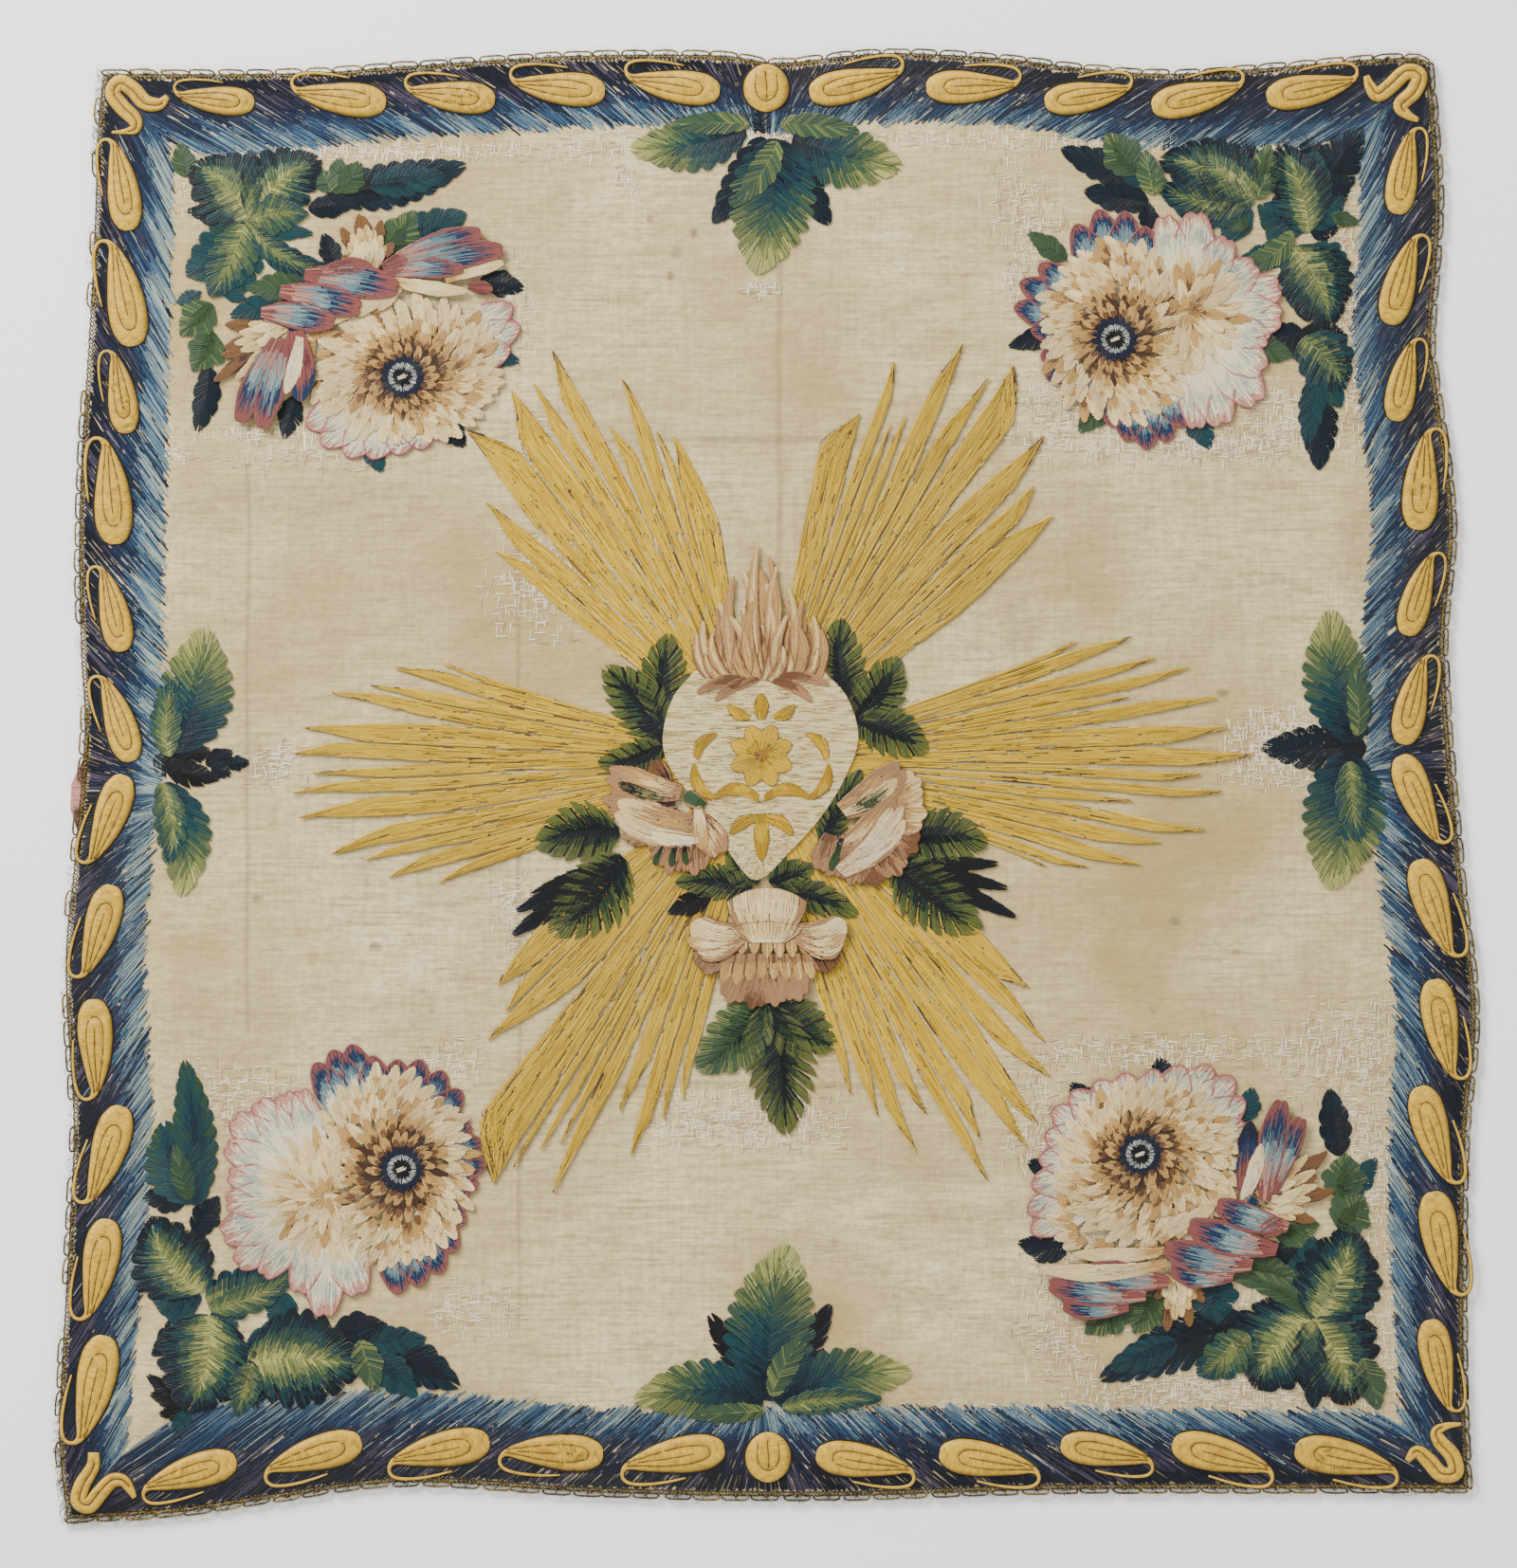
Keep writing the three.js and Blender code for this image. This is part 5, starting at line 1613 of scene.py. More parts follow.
# Rose petals: root, tip, width, bow, colours from root to tip, lobes of the tip.
ROSE_PETALS = [
    (722, 862, 688, 905, 34, 0, ROSE_DARK, 3), (724, 864, 704, 922, 36, 0, ROSE_DARK, 3),
    (728, 866, 733, 924, 36, 0, ROSE_DARK, 3), (716, 858, 655, 884, 36, 0, ROSE_DARK, 3),
    (712, 850, 636, 844, 40, 0, [PLUM, DUSKY, MAUVE], 3), (704, 826, 688, 804, 22, 0, [PLUM, DUSKY], 1),
    (718, 836, 638, 814, 34, 4, [MAUVE, CREAM, TAN, MAUVE], 2),
    (700, 842, 652, 826, 14, 2, [GREEN, DARK_GREEN], 1),
    (738, 862, 761, 903, 34, 0, [DUSKY, CREAM, MAUVE], 2),
    (736, 850, 741, 896, 18, 0, [LIGHT, CREAM, TAN], 1),
    (740, 872, 646, 850, 44, 8, [MAUVE, TAN, MAUVE, CREAM], 2),
    (736, 884, 650, 862, 24, 8, [LIGHT, WHITE, CREAM], 2),
    (737, 886, 684, 880, 16, 3, [WHITE, LIGHT], 2), (700, 890, 690, 912, 8, 0, [DARK_GREEN, GREEN], 1),
    (712, 892, 708, 914, 8, 0, [DARK_GREEN, GREEN], 1), (722, 892, 724, 912, 8, 0, [BLACK, GREEN], 1),
    (744, 850, 722, 838, 18, 0, [GREEN, LEAF_GREEN], 1), (902, 880, 872, 924, 34, 0, ROSE_DARK, 3),
    (908, 884, 896, 934, 36, 0, ROSE_DARK, 3), (914, 884, 924, 936, 36, 0, [PLUM, DUSKY, DUSKY], 3),
    (920, 880, 950, 924, 38, 0, ROSE_DARK, 3), (922, 868, 968, 898, 44, 0, [DUSKY, MAUVE, DUSKY], 3),
    (928, 856, 978, 858, 50, 0, [MAUVE, MAUVE, TAN, CREAM], 3),
    (934, 842, 972, 822, 40, 0, [MAUVE, TAN, CREAM], 3), (876, 880, 864, 920, 26, 0, [DUSKY, MAUVE], 2),
    (888, 856, 954, 806, 40, -6, [TAN, MAUVE, TAN, MAUVE], 2),
    (890, 858, 946, 822, 18, -4, [LIGHT, GREEN, CREAM], 1),
    (884, 900, 950, 842, 44, -9, [MAUVE, CREAM, TAN, MAUVE], 2),
    (886, 920, 952, 850, 36, -8, [LIGHT, WHITE, LIGHT], 3),
    (888, 884, 876, 918, 10, 0, [DARK_GREEN, GREEN], 1),
    (790, 1010, 768, 1058, 34, 0, [DUSKY, MAUVE, MAUVE], 3),
    (806, 1014, 792, 1064, 34, 0, [DUSKY, MAUVE, DUSKY], 3),
    (814, 1014, 818, 1062, 32, 0, [PLUM, MAUVE, MAUVE], 3),
    (826, 1010, 844, 1056, 34, 0, [DUSKY, MAUVE, MAUVE], 3),
    (766, 998, 738, 1024, 36, -5, [PLUM, PLUM, DUSKY, MAUVE], 2),
    (852, 996, 880, 1022, 36, 5, [PLUM, PLUM, DUSKY], 2),
]


def rose_petals(floss, rows, lift=0.2):
    for index, (x0, y0, x1, y1, wide, bow, tones, lobes) in enumerate(rows):
        notch = 0.1 if lobes > 1 else 0
        petal(floss, (x0, y0), (x1, y1), wide, tones, blur=0.09, bend=bow, length=4.6,
              lift=(lift + 0.02 * index + (0.13 if wide < 20 else 0)) * MM, notch=notch,
              lobes=lobes, edge=MAUVE, narrow=0.5)
        place, _ = petal_place((x0, y0), (x1, y1), wide, 0.5, 0.28, bow, notch, lobes)
        outline(floss, place, ROSE_EDGE, (lift + 0.03 + 0.02 * index) * MM, 12, 0.55)


def tongue_row(floss, x0, y0, x1, y1, count, drop, wide, tones, lift):
    """A fringe of small hanging petals between two points."""
    for k in range(count):
        share = (k + 0.5) / count
        x, y = x0 + (x1 - x0) * share, y0 + (y1 - y0) * share
        lean = (share - 0.5) * drop * 0.5
        petal(floss, (x, y), (x + lean, y + drop * RNG.uniform(0.85, 1.1)), wide, tones, lift=lift,
              narrow=0.8, rounding=0.45, edge=DUSKY)


roses = Floss("roses_and_leaves")
for x0, y0, x1, y1, wide, bow, kind in HEART_LEAVES:
    leaf(roses, x0, y0, x1, y1, wide, bow, kind, 0.5 * MM)
rose_petals(roses, ROSE_PETALS, 1.05)
tongue_row(roses, 764, 1006, 856, 1006, 8, 30, 13, [DUSKY, MAUVE, TAN, CREAM], 1.85 * MM)
tongue_row(roses, 742, 978, 876, 978, 11, 30, 13, [DUSKY, MAUVE, TAN, LIGHT], 2.0 * MM)
BOTTOM_CAPS = [
    (786, 984, 728, 978, 46, 12, [MAUVE, CREAM, LIGHT, CREAM], 1),
    (838, 984, 893, 976, 44, -12, [MAUVE, CREAM, LIGHT], 1),
    (760, 996, 724, 990, 14, 4, [LIGHT, TAN], 1), (858, 994, 892, 986, 14, -4, [LIGHT, TAN], 1),
    (809, 990, 809, 936, 84, 0, [TAN, CREAM, LIGHT, CREAM], 1),
    (809, 994, 809, 972, 74, 0, [WHITE, LIGHT, TAN], 1),
]
rose_petals(roses, BOTTOM_CAPS, 2.25)
roses.make(FLOSS)

# %% [markdown]
# ## Corner flowers
# Each corner has a great flower of overlapping cream tongues round a black eye. Two kinds face each
# other across the cloth: one opens a fan of white petals, the other has folded striped petals.

# %% Tongues, rims and the eye
TONGUE = [BROWN_SILK, TAN, TAN, CREAM, LIGHT, CREAM, LIGHT]
BROWN_TONGUE, EYE_PALE = [BROWN_SILK, BROWN_SILK, TAN, TAN], tone(184, 187, 177)
RIM_LEFT = [WHITE] * 6 + [PALE_BLUE, ICE, ICE, ROYAL, ROYAL, ROSE]
WHITE_FAN = [CREAM, LIGHT] + [WHITE] * 8 + [PALE_BLUE, WHITE, PINK]
FAN_BANDS = [(0.0, 0.24), (0.18, 0.42), (0.36, 0.6), (0.54, 0.76), (0.7, 0.88), (0.83, 0.95), (0.91, 1.0)]
RIM_BANDS = [(0.0, 0.36), (0.3, 0.62), (0.56, 0.8), (0.74, 0.92), (0.87, 1.0)]
FAN_EDGE, SHADOW_LINE = tone(176, 112, 112), tone(150, 140, 126)
RIM_ROOT, MASS_LIFT, BUD_LIFT = 0.45, 0.35, 0.3


def compass(degrees):
    """A step of one picture point in a direction, counted from the right and up over the top."""
    at = math.radians(degrees)
    return np.array([math.cos(at), -math.sin(at)])


def ring(floss, eye, reach_x, reach_y, count, length, wide, swirl, tones, lift, span=(0, 360)):
    """Tongues on an oval round the eye. swirl turns them aside, in degrees."""
    for k in range(count):
        turn = span[0] + (span[1] - span[0]) * (k + 0.5 + RNG.uniform(-0.22, 0.22)) / count
        at = math.radians(turn)
        grown = RNG.uniform(0.92, 1.08)
        root = np.array([eye[0] + reach_x * grown * math.cos(at), eye[1] - reach_y * grown * math.sin(at)])
        way = compass(turn + swirl + RNG.uniform(-9, 9))
        tip = root + length * RNG.uniform(0.9, 1.15) * way
        picked = np.array(BROWN_TONGUE if RNG.random() < 0.13 else tones) * RNG.uniform(0.86, 1.05)
        broad = wide * RNG.uniform(0.9, 1.15)
        over = lift + 0.055 * MM * (k % 2)
        petal(floss, root, tip, broad, picked, lift=over, narrow=0.5, rounding=0.6, blur=0.06,
              pitch=0.7, bands=[(0.0, 0.62), (0.45, 1.0)])
        place, _ = petal_place(root, tip, broad, 0.5, 0.6)
        for edge in (0.0, 1.0):
            floss.add(place(np.array([0.3]), np.array([edge])), place(np.array([0.95]), np.array([edge])),
                      np.array([DUSKY]), 0.5 * MM, MOTIF_LIFT + over + 0.06 * MM)


def eye_of(floss, x, y):
    """A black ring with a white middle, a pale ring and dark rays."""
    middle = np.array([x, y])
    for turn in np.arange(0, 360, 20):
        way = compass(turn + 8)
        petal(floss, middle + 11 * way, middle + 25 * way, 8, [ROYAL, NAVY, NAVY],
              lift=1.2 * MM, rounding=0.8, narrow=0.9)
    for turn in np.arange(0, 360, 22.5):
        way = compass(turn)
        petal(floss, middle + 8 * way, middle + 15.5 * way, 7, [EYE_PALE],
              lift=1.3 * MM, rounding=0.3, narrow=0.6)
        petal(floss, middle + 2 * way, middle + 11 * way, 5.5, [BLACK],
              lift=1.45 * MM, rounding=0.3, narrow=0.6)
    petal(floss, (x - 5, y + 2), (x + 5, y - 2), 4.5, [WHITE], lift=1.6 * MM, narrow=0.7)


def rim_lobes(floss, eye, tips, wide, tones, edge=ROSE):
    """Wide scalloped petals from near the eye out to each tip."""
    for x, y in tips:
        root = (eye[0] + (x - eye[0]) * RIM_ROOT, eye[1] + (y - eye[1]) * RIM_ROOT)
        petal(floss, root, (x, y), wide, tones, lift=0.0, notch=0.07, lobes=1, narrow=0.75,
              rounding=0.3, blur=0.015, bands=RIM_BANDS)
        place, _ = petal_place(root, (x, y), wide, 0.75, 0.3, 0.0, 0.07, 1)
        outline(floss, place, SHADOW_LINE, 0.0, 14, 0.45, edge, 1.15)


def mass(floss, eye, swirl, rings):
    """Ring upon ring of tongues, the inner ones on top: reach across and down, count, length, width."""
    for index, (reach_x, reach_y, count, length, wide, centre_x, centre_y) in enumerate(rings):
        inner = index >= len(rings) - 2
        shorter, thinner, tones = (0.8, 0.85, BROWN_TONGUE) if inner else (1, 1, TONGUE)
        level = MASS_LIFT + 0.13 * index
        ring(floss, (centre_x, centre_y), reach_x, reach_y, count, length * shorter,
             wide * thinner, swirl, tones, level * MM)
        if index == len(rings) - 3:
            ring(floss, eye, 16, 16, 22, 30, 11, swirl, [PLUM, UMBER], (level + 0.06) * MM)


# %% Upper right and lower left: flowers that open a fan of white petals
def open_flower(floss, rims, root, fan, eye, swirl, rings, tufts, long, span):
    """Rim petals, a fan of white petals from one root, and rings of tongues round the eye."""
    for middle, wide, tips in rims:
        rim_lobes(floss, middle, tips, wide, RIM_LEFT)
    for index, (tip, wide) in enumerate(fan):
        petal(floss, root, tip, wide, WHITE_FAN, lift=(0.2 + 0.015 * (index % 2)) * MM, narrow=0.2,
              rounding=0.22, notch=0.06, lobes=2, blur=0.015, bands=FAN_BANDS)
        place, _ = petal_place(root, tip, wide, 0.2, 0.22, 0, 0.06, 2)
        outline(floss, place, SHADOW_LINE, 0.26 * MM, 16, 0.45, FAN_EDGE, 1.0)
    mass(floss, eye, swirl, rings)
    for reach, count in tufts:
        ring(floss, root, reach, reach, count, long, 13, 0, TONGUE, (1.0 - reach / 60) * MM, span)
    eye_of(floss, *eye)


flower_floss = Floss("flowers_right_top_left_bottom", 0.55 * MM)
# Upper right.
open_flower(
    flower_floss,
    [((1190, 350), 34, [(1134, 238), (1158, 222), (1186, 224), (1208, 240)]),
     ((1190, 350), 32, [(1096, 280), (1076, 298), (1070, 324), (1088, 348)]),
     ((1190, 350), 30, [(1098, 378), (1104, 400), (1122, 420), (1144, 426)]),
     ((1195, 350), 34, [(1172, 450), (1190, 466), (1210, 474), (1232, 466), (1250, 450)])],
    (1252, 330),
    [((1226, 226), 34), ((1262, 222), 42), ((1296, 250), 36), ((1326, 278), 40),
     ((1352, 302), 44), ((1354, 336), 46), ((1340, 360), 34), ((1334, 394), 44),
     ((1328, 428), 48), ((1290, 452), 46), ((1262, 456), 34)],
    (1176, 358), 28,
    [(64, 78, 34, 25, 14, 1181, 350), (56, 67, 31, 25, 14, 1180, 350), (48, 57, 28, 25, 13, 1180, 352),
     (40, 47, 25, 24, 13, 1179, 353), (32, 36, 21, 23, 12, 1178, 355), (22, 24, 18, 20, 11, 1176, 358)],
    [(30, 15), (16, 12), (4, 10)], 34, (-130, 110),
)
# Lower left.
open_flower(
    flower_floss,
    [((410, 1235), 36, [(332, 1122), (350, 1108), (370, 1102), (392, 1114)]),
     ((410, 1235), 34, [(420, 1118), (444, 1118), (468, 1130), (486, 1150)]),
     ((410, 1235), 34, [(496, 1186), (508, 1204), (512, 1228), (504, 1250), (494, 1266)]),
     ((410, 1240), 36, [(490, 1290), (482, 1318), (466, 1342), (444, 1356), (420, 1364)])],
    (344, 1260),
    [((298, 1150), 38), ((270, 1158), 38), ((244, 1176), 44), ((236, 1206), 38),
     ((238, 1238), 34), ((236, 1268), 38), ((232, 1304), 46), ((248, 1336), 40),
     ((276, 1348), 34), ((314, 1366), 34), ((342, 1392), 42), ((380, 1368), 42), ((316, 1146), 34)],
    (424, 1233), -20,
    [(68, 84, 37, 25, 14, 412, 1236), (60, 74, 34, 25, 14, 413, 1236), (52, 64, 31, 25, 13, 415, 1236),
     (44, 53, 27, 24, 13, 417, 1235), (35, 41, 23, 23, 12, 420, 1234), (22, 24, 18, 20, 11, 424, 1233)],
    [(34, 16), (18, 13), (4, 10)], 36, (60, 300),
)
flower_floss.make(FLOSS)

# %% Upper left and lower right: flowers with folded striped petals
folded_floss = Floss("flowers_left_top_right_bottom", 0.55 * MM)
WHITE_RIM = [CREAM] * 3 + [WHITE] * 6 + [PALE_BLUE, WHITE, PINK]
# Upper left.
rim_lobes(folded_floss, (430, 395), [
    (540, 322), (548, 344), (538, 368), (522, 396), (512, 424), (494, 440), (470, 462), (446, 474),
    (420, 480), (392, 484), (366, 482), (340, 470), (324, 450),
], 36, WHITE_RIM, FAN_EDGE)
mass(folded_floss, (425, 398), 24, [
    (46, 38, 24, 25, 14, 376, 378), (80, 56, 37, 25, 14, 432, 392), (70, 49, 34, 25, 14, 431, 393),
    (60, 43, 31, 25, 13, 430, 394), (49, 38, 27, 24, 13, 429, 395), (37, 31, 23, 23, 12, 427, 396),
    (22, 21, 18, 20, 11, 425, 398),
])
FOLDED = [
    # root, tip, width, bow, kind
    ((410, 302), (348, 342), 20, -3, "cream"), ((418, 300), (378, 334), 18, -3, "cream"),
    ((424, 300), (400, 328), 16, -2, "cream"), ((406, 294), (494, 308), 15, -3, "cream"),
    ((470, 296), (532, 278), 18, 3, "cream"), ((494, 302), (520, 306), 15, 0, "rosy"),
    ((390, 290), (362, 283), 22, 0, "blue"), ((304, 334), (322, 352), 22, 0, "blue"),
    ((409, 280), (512, 245), 27, 3, "pod"), ((408, 284), (536, 264), 31, 3, "pod"),
    ((406, 288), (492, 284), 22, 2, "pod"), ((404, 284), (430, 274), 18, 0, "rosy"),
    ((276, 330), (356, 341), 33, 2, "pod"), ((296, 308), (384, 327), 35, 2, "pod"),
    ((322, 290), (424, 306), 36, 2, "pod"), ((340, 288), (392, 280), 18, 2, "rosy"),
    ((312, 350), (318, 424), 32, 2, "plain"), ((292, 358), (252, 450), 27, -2, "pod"),
    ((302, 358), (276, 456), 29, -2, "pod"), ((317, 356), (302, 416), 16, 2, "white"),
]
CUP = {
    "cream": [TAN, CREAM, LIGHT, CREAM],
    "white": [LIGHT, WHITE, WHITE, LIGHT],
    "pod": [ROSE, ROSE, PINK, PINK, ICE, PALE_BLUE, ICE, ICE, ROYAL, ROYAL, ROSE, ROSE],
    "plain": [ROSE, ROSE, DEEP_ROSE, ROSE, ROYAL],
    "rosy": [ROSE, DEEP_ROSE, ROSE],
    "blue": [ROYAL, ROYAL, NAVY],
}


def folded(floss, rows):
    """Petals seen from behind, whose colours change from root to tip with jagged steps."""
    for index, (root, tip, wide, bow, kind) in enumerate(rows):
        striped = kind == "pod"
        lift = (1.2 + 0.05 * index) * MM
        narrow, lobes = (0.34, 2) if striped else (0.5, 1)
        petal(floss, root, tip, wide, CUP[kind], blur=0.035 if striped else 0.06, bend=bow, lift=lift,
              narrow=narrow, rounding=0.3, notch=0.06, lobes=lobes,
              bands=STRIPE_BANDS if striped else None, edge=ROSE if striped else None)
        place, _ = petal_place(root, tip, wide, narrow, 0.3, bow, 0.06, lobes)
        outline(floss, place, DEEP_ROSE if striped else DUSKY, lift + 0.02 * MM, 14, 0.45)


def bud(floss, root, tips):
    """A closed bud: three ranks of small tongues, brown outside and cream inside."""
    root = np.array(root, float)
    ranks = [(0.55, 1.0, [UMBER, BROWN_SILK, BROWN_SILK]), (0.3, 0.8, [BROWN_SILK, TAN, CREAM]),
             (0.05, 0.55, [TAN, CREAM, LIGHT])]
    for index, tip in enumerate(tips):
        way = np.array(tip, float) - root
        aside = np.array([-way[1], way[0]]) * (0.12 if index % 2 else -0.12)
        for rank, (start, end, tones) in enumerate(ranks):
            shift = aside * (rank - 1)
            petal(floss, root + way * start + shift, root + way * end + shift, 13, tones, edge=UMBER,
                  lift=(BUD_LIFT + 0.25 * rank + 0.02 * index) * MM, rounding=0.6, narrow=0.6)


STRIPE_BANDS = [(0.0, 0.26), (0.2, 0.46), (0.4, 0.64), (0.58, 0.8), (0.74, 0.92), (0.88, 1.0)]
bud(folded_floss, (390, 284), [
    (362, 250), (366, 238), (376, 230), (386, 226), (396, 232), (406, 240), (412, 254), (362, 268),
])
bud(folded_floss, (312, 350), [
    (284, 334), (250, 340), (238, 352), (232, 366), (240, 376), (256, 376), (234, 412), (250, 392),
    (290, 344),
])
folded(folded_floss, FOLDED)
eye_of(folded_floss, 425, 398)
# Lower right.
rim_lobes(folded_floss, (1210, 1228), [
    (1088, 1300), (1084, 1278), (1088, 1250), (1096, 1222), (1102, 1196), (1110, 1170), (1130, 1152),
    (1156, 1140), (1184, 1132), (1216, 1128), (1246, 1124), (1276, 1124), (1300, 1136), (1312, 1160),
    (1312, 1186),
], 38, WHITE_RIM, FAN_EDGE)
mass(folded_floss, (1202, 1217), -26, [
    (62, 26, 26, 25, 14, 1190, 1286), (76, 68, 38, 25, 14, 1212, 1229),
    (67, 59, 35, 25, 14, 1211, 1228), (58, 51, 31, 25, 13, 1209, 1226),
    (48, 43, 27, 24, 13, 1207, 1223), (36, 33, 23, 23, 12, 1204, 1220),
    (22, 21, 18, 20, 11, 1202, 1217),
])
bud(folded_floss, (1240, 1344), [
    (1222, 1372), (1228, 1390), (1238, 1404), (1248, 1400), (1258, 1390), (1266, 1376), (1270, 1362),
])
bud(folded_floss, (1326, 1268), [
    (1392, 1206), (1402, 1226), (1404, 1246), (1396, 1264), (1388, 1280), (1376, 1290), (1384, 1232),
])
folded(folded_floss, [
    ((1230, 1318), (1132, 1322), 16, 4, "cream"), ((1216, 1306), (1240, 1284), 18, 2, "cream"),
    ((1222, 1308), (1262, 1280), 20, 3, "cream"), ((1240, 1304), (1280, 1272), 18, 3, "cream"),
    ((1314, 1238), (1318, 1182), 22, 0, "blue"), ((1312, 1262), (1318, 1206), 24, 0, "plain"),
    ((1342, 1258), (1374, 1176), 27, 3, "pod"), ((1333, 1266), (1352, 1156), 31, 2, "pod"),
    ((1310, 1268), (1330, 1206), 16, -2, "white"), ((1314, 1262), (1322, 1276), 18, 0, "blue"),
    ((1300, 1346), (1232, 1338), 28, 3, "pod"), ((1320, 1334), (1224, 1314), 34, 4, "pod"),
    ((1346, 1318), (1250, 1290), 36, 4, "pod"), ((1358, 1294), (1280, 1268), 32, 4, "pod"),
    ((1330, 1300), (1352, 1288), 22, 0, "rosy"),
    ((1190, 1378), (1118, 1376), 26, 2, "pod"), ((1208, 1366), (1102, 1354), 32, 2, "pod"),
    ((1232, 1352), (1144, 1338), 32, 2, "pod"), ((1230, 1332), (1096, 1338), 18, 7, "cream"),
])
eye_of(folded_floss, 1202, 1217)
folded_floss.make(FLOSS)

# %% [markdown]
# ## Corner leaves and side sprays
# Leaves fill the corners behind the flowers. Some are folded, with a pale middle and dark teeth. At
# the middle of each side stands a small spray whose leaves turn from blue-black to pale green.

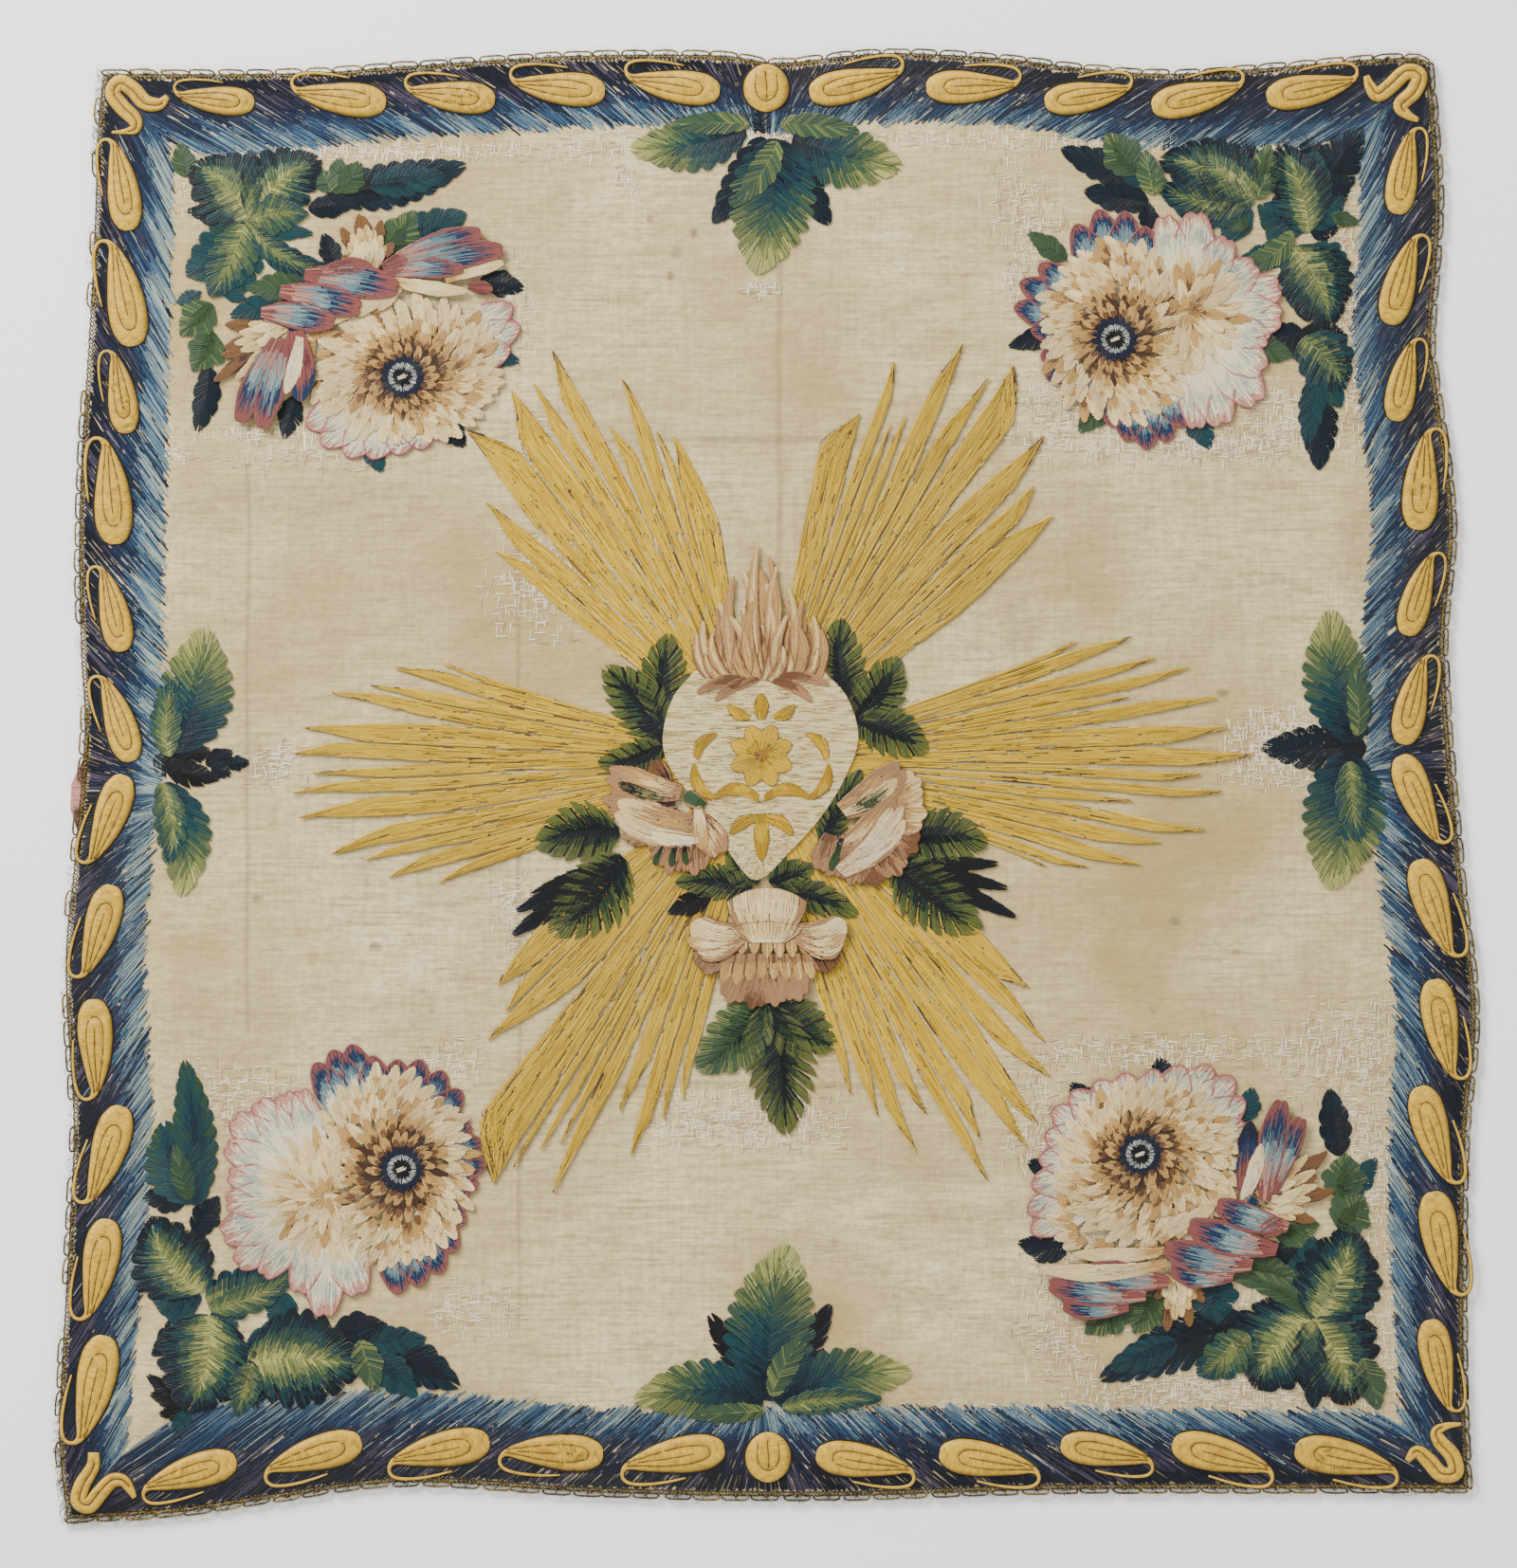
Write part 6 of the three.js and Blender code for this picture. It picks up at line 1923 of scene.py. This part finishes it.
# %% Corner leaves: base, tip, width, bow, kind
CORNER_LEAVES = {
    "leaves_top_left": [
        (196, 186, 190, 150, 20, 0, "lime"), (262, 226, 265, 158, 28, 0, "dark"),
        (262, 228, 300, 163, 34, 3, "dark"), (262, 230, 203, 172, 66, -8, "fold"),
        (264, 230, 338, 166, 62, 8, "fold"), (350, 202, 340, 180, 20, 0, "pale"),
        (356, 205, 358, 166, 22, 0, "lime"), (362, 204, 380, 170, 24, 0, "lime"),
        (348, 206, 492, 174, 38, -4, "dark"), (392, 196, 470, 186, 26, 0, "teal"),
        (326, 221, 378, 213, 20, 0, "dark"), (264, 233, 326, 226, 34, 4, "pale"),
        (268, 240, 331, 247, 16, 0, "teal"), (255, 232, 197, 222, 20, 0, "dark"),
        (257, 236, 197, 292, 48, 8, "teal"), (259, 238, 256, 310, 44, -5, "teal"),
        (258, 238, 222, 314, 40, 4, "pale"), (262, 236, 352, 284, 22, -14, "fold"),
        (345, 290, 287, 281, 20, 0, "teal"), (318, 297, 259, 304, 24, 3, "lime"),
        (292, 318, 242, 334, 20, 0, "teal"), (224, 322, 190, 354, 32, 0, "lime"),
        (224, 350, 203, 392, 32, 4, "lime"), (221, 388, 208, 456, 22, 3, "dark"),
        (354, 280, 341, 246, 18, 0, "dark"), (407, 277, 438, 222, 36, 0, "lime"),
        (418, 266, 492, 225, 34, 3, "teal"), (508, 295, 554, 305, 22, 0, "dark"),
        (509, 373, 549, 382, 16, 0, "teal"), (390, 466, 403, 499, 18, 0, "teal"),
        (470, 447, 491, 472, 18, 0, "dark"), (312, 418, 300, 464, 20, 0, "dark"),
        (202, 320, 196, 306, 22, 0, "teal"), (244, 318, 250, 302, 20, 0, "teal"),
    ],
    "leaves_top_right": [
        (1206, 184, 1119, 157, 28, 4, "dark"), (1210, 214, 1143, 202, 26, 0, "dark"),
        (1198, 184, 1166, 140, 34, 0, "lime"), (1204, 198, 1182, 150, 26, 0, "teal"),
        (1216, 206, 1208, 158, 22, 0, "pale"), (1219, 204, 1220, 176, 16, 0, "pale"),
        (1322, 208, 1222, 168, 56, -10, "fold"), (1322, 210, 1222, 200, 44, 8, "fold"),
        (1322, 206, 1268, 150, 50, 4, "fold"), (1322, 206, 1310, 142, 28, 0, "dark"),
        (1326, 208, 1338, 152, 30, 0, "lime"), (1324, 210, 1338, 184, 16, 0, "pale"),
        (1380, 244, 1350, 152, 52, -6, "fold"), (1384, 226, 1386, 158, 30, 0, "teal"),
        (1388, 216, 1437, 134, 40, 3, "dark"), (1398, 204, 1426, 190, 26, 0, "dark"),
        (1390, 172, 1373, 140, 18, 0, "dark"), (1380, 240, 1419, 208, 24, 0, "teal"),
        (1380, 240, 1414, 238, 26, 0, "dark"), (1376, 242, 1326, 217, 40, 4, "teal"),
        (1318, 244, 1284, 222, 36, 0, "teal"), (1316, 238, 1290, 232, 16, 0, "lime"),
        (1364, 246, 1302, 280, 20, 10, "pale"), (1364, 264, 1302, 278, 22, 0, "teal"),
        (1364, 262, 1404, 346, 62, 8, "fold"), (1378, 262, 1422, 300, 40, 0, "teal"),
        (1365, 272, 1380, 340, 30, 0, "dark"), (1368, 352, 1386, 366, 34, 0, "black"),
        (1374, 352, 1422, 356, 26, 0, "dark"), (1374, 358, 1418, 412, 48, 6, "fold"),
        (1376, 362, 1414, 430, 30, 0, "teal"), (1372, 352, 1366, 380, 20, 0, "dark"),
        (1384, 402, 1391, 496, 32, 3, "dark"), (1388, 398, 1378, 470, 20, 0, "teal"),
        (1308, 362, 1364, 376, 26, 0, "lime"), (1372, 348, 1338, 360, 20, 0, "dark"),
        (1124, 274, 1084, 245, 18, 0, "lime"), (1113, 351, 1063, 366, 18, 0, "dark"),
        (1169, 421, 1137, 457, 22, 0, "lime"), (1257, 432, 1276, 474, 24, 0, "teal"),
        (1211, 242, 1211, 214, 16, 0, "dark"), (1404, 228, 1434, 236, 12, 0, "lime"),
    ],
    "leaves_bottom_left": [
        (208, 1270, 195, 1118, 36, -4, "teal"), (206, 1270, 206, 1150, 24, 0, "dark"),
        (204, 1268, 172, 1182, 54, 4, "teal"), (200, 1266, 184, 1206, 18, 0, "lime"),
        (197, 1266, 149, 1262, 24, 0, "dark"), (212, 1362, 158, 1284, 70, 10, "fold"),
        (206, 1302, 231, 1261, 24, 0, "dark"), (206, 1346, 213, 1298, 26, 0, "dark"),
        (212, 1370, 158, 1366, 36, 6, "teal"), (219, 1372, 286, 1346, 42, -4, "fold"),
        (222, 1380, 316, 1332, 26, -10, "pale"), (304, 1365, 288, 1401, 28, 0, "teal"),
        (222, 1388, 198, 1490, 86, 8, "fold"), (222, 1388, 252, 1400, 30, 0, "teal"),
        (205, 1392, 160, 1430, 26, 0, "dark"), (190, 1476, 155, 1450, 14, 0, "black"),
        (192, 1480, 158, 1470, 14, 0, "black"), (195, 1486, 168, 1492, 14, 0, "black"),
        (200, 1490, 182, 1510, 16, 0, "teal"), (262, 1434, 384, 1440, 84, 4, "fold"),
        (262, 1418, 346, 1404, 28, 4, "teal"), (266, 1438, 250, 1494, 28, 0, "pale"),
        (272, 1436, 270, 1488, 24, 0, "dark"), (376, 1412, 485, 1463, 42, 4, "dark"),
        (352, 1406, 409, 1397, 30, 0, "dark"), (390, 1416, 450, 1411, 24, 0, "teal"),
        (380, 1414, 398, 1468, 26, 0, "pale"), (396, 1430, 440, 1474, 30, 0, "teal"),
    ],
    "leaves_bottom_right": [
        (1228, 1144, 1222, 1115, 22, 0, "dark"), (1155, 1174, 1129, 1142, 24, 0, "dark"),
        (1118, 1240, 1083, 1225, 20, 0, "dark"), (1124, 1322, 1073, 1310, 24, 0, "dark"),
        (1313, 1182, 1321, 1146, 20, 0, "teal"), (1412, 1218, 1402, 1148, 26, 0, "dark"),
        (1416, 1264, 1419, 1216, 38, 0, "lime"), (1420, 1262, 1452, 1221, 22, 0, "teal"),
        (1412, 1296, 1438, 1260, 38, 0, "lime"), (1388, 1388, 1426, 1294, 74, -8, "fold"),
        (1400, 1384, 1452, 1344, 44, 0, "teal"), (1386, 1388, 1384, 1304, 40, 5, "teal"),
        (1395, 1384, 1453, 1403, 18, 0, "dark"), (1380, 1390, 1322, 1464, 84, -8, "fold"),
        (1384, 1392, 1426, 1482, 74, 8, "fold"), (1382, 1398, 1386, 1486, 26, 0, "dark"),
        (1438, 1432, 1454, 1488, 26, 0, "pale"), (1384, 1390, 1290, 1345, 18, -12, "lime"),
        (1318, 1322, 1378, 1323, 20, 0, "dark"), (1305, 1334, 1368, 1349, 28, 0, "lime"),
        (1345, 1302, 1391, 1291, 30, 0, "lime"), (1374, 1386, 1322, 1376, 26, 0, "dark"),
        (1328, 1394, 1159, 1455, 44, -6, "dark"), (1240, 1416, 1170, 1444, 26, 0, "teal"),
        (1316, 1408, 1262, 1450, 38, 4, "pale"), (1190, 1372, 1144, 1406, 34, 0, "lime"),
        (1226, 1360, 1195, 1406, 36, 0, "lime"), (1275, 1348, 1286, 1396, 42, 0, "teal"),
    ],
    "side_sprays": [
        (786, 138, 664, 157, 46, 6, "spray"), (836, 148, 951, 176, 54, -4, "spray"),
        (806, 146, 752, 236, 32, 4, "dark"), (834, 164, 875, 238, 28, -2, "dark"),
        (821, 148, 798, 290, 72, 4, "spray"), (790, 131, 706, 133, 18, -2, "pale"),
        (824, 131, 906, 139, 20, 2, "pale"), (820, 150, 780, 213, 24, 4, "pale"),
        (806, 140, 800, 112, 16, 0, "black"), (786, 130, 780, 116, 12, 0, "dark"),
        (804, 1474, 667, 1476, 50, -10, "spray"), (818, 1474, 962, 1447, 50, 8, "spray"),
        (787, 1448, 748, 1385, 22, 0, "black"), (826, 1466, 876, 1375, 26, 0, "black"),
        (808, 1476, 830, 1311, 76, 6, "spray"), (814, 1472, 851, 1406, 22, 4, "pale"),
        (806, 1488, 728, 1493, 16, 0, "pale"), (826, 1484, 930, 1475, 20, 3, "pale"),
        (186, 794, 217, 661, 64, -6, "spray"), (178, 797, 183, 717, 26, 5, "pale"),
        (174, 826, 192, 946, 46, 12, "spray"), (171, 826, 180, 912, 26, 6, "pale"),
        (176, 806, 222, 790, 26, 0, "black"), (176, 812, 232, 822, 22, 0, "black"),
        (218, 806, 246, 792, 16, 0, "dark"), (224, 808, 244, 818, 14, 0, "dark"),
        (240, 806, 264, 804, 12, 0, "dark"), (162, 800, 190, 812, 22, 0, "black"),
        (1428, 782, 1403, 642, 56, 8, "spray"), (1432, 776, 1426, 700, 18, -3, "pale"),
        (1422, 796, 1403, 939, 70, 4, "spray"), (1424, 804, 1433, 888, 26, -3, "pale"),
        (1438, 789, 1330, 789, 38, 0, "dark"), (1440, 788, 1412, 790, 26, 0, "black"),
    ],
}
# Pale and folded leaves lie over dark ones.
LEAF_LIFT = {"black": 0.04, "teal": 0.12, "spray": 0.2, "lime": 0.26, "fold": 0.3, "pale": 0.44}
for piece_name, rows in CORNER_LEAVES.items():
    leaves = Floss(piece_name)
    for row in rows:
        leaf(leaves, *row, lift=LEAF_LIFT.get(row[-1], 0.0) * MM)
    leaves.make(FLOSS)

# %% [markdown]
# ## Darning
# Worn silk has been held together with short stitches of pale thread, level and upright like a
# basket. They gather round the corner flowers and along the border.

# %% Darned places: middle, reach across and down, how many stitches
DARNS = [
    (1130, 1350, 60, 70, 260), (1220, 1110, 150, 22, 320), (1400, 1110, 60, 60, 300),
    (1440, 1220, 40, 110, 420), (1250, 1470, 150, 30, 520), (1440, 1420, 40, 90, 360),
    (1330, 1440, 60, 60, 160), (1090, 1180, 40, 70, 180), (1110, 1420, 50, 40, 160),
    (1300, 1380, 60, 30, 120), (1090, 240, 40, 60, 170), (1110, 440, 60, 45, 220),
    (1270, 470, 130, 22, 320), (1420, 330, 22, 150, 420), (1060, 190, 30, 60, 80),
    (1350, 440, 60, 40, 200), (1360, 290, 60, 40, 80), (440, 160, 250, 10, 420),
    (900, 146, 300, 10, 300), (1240, 152, 200, 10, 260), (290, 456, 150, 8, 160),
    (330, 480, 100, 20, 120), (540, 330, 30, 60, 110), (1350, 790, 62, 44, 620),
    (785, 1180, 110, 34, 420), (570, 620, 64, 60, 300), (290, 806, 40, 24, 110), (800, 305, 22, 10, 50),
    (560, 985, 34, 34, 110), (540, 950, 26, 30, 80), (250, 1160, 70, 40, 240), (500, 1380, 60, 30, 130),
    (270, 1420, 40, 16, 90), (560, 470, 30, 50, 80), (190, 1460, 20, 60, 110), (700, 1500, 300, 8, 200),
    (1080, 1490, 200, 10, 160), (185, 480, 22, 10, 50), (1240, 470, 120, 12, 120),
    (480, 1120, 40, 30, 90), (660, 190, 14, 16, 40), (1072, 300, 20, 30, 40), (1448, 1100, 20, 50, 90),
    (210, 200, 22, 50, 60),
]


MENDING = [tone(230, 216, 190), tone(238, 228, 206), tone(202, 178, 148)]


def darning():
    threads = Floss("darning")
    for px, py, across, down, count in DARNS:
        count = round(count * 1.15)
        spread = RNG.triangular(-1.1, 0, 1.1, (count, 2)) * METRES_PER_PIXEL
        at = spot(px, py) + spread * (across, down)
        level = (np.floor(at[:, 0] / (3 * MM)) + np.floor(at[:, 1] / (3 * MM))) % 2 > 0
        level = level ^ (RNG.random(count) < 0.12)
        way = np.where(level, 0.0, np.pi / 2) + RNG.normal(0, 0.14, count)
        half = RNG.uniform(1.0, 2.2, count) * MM
        step = np.stack([np.cos(way), np.sin(way)], 1) * half[:, None]
        tints = shade_by(MENDING, RNG.random(count), 0)
        threads.add(at - step, at + step, tints, 0.52 * MM, 0.08 * MM)
    return threads.make(FLOSS, "mending_thread")


darning()
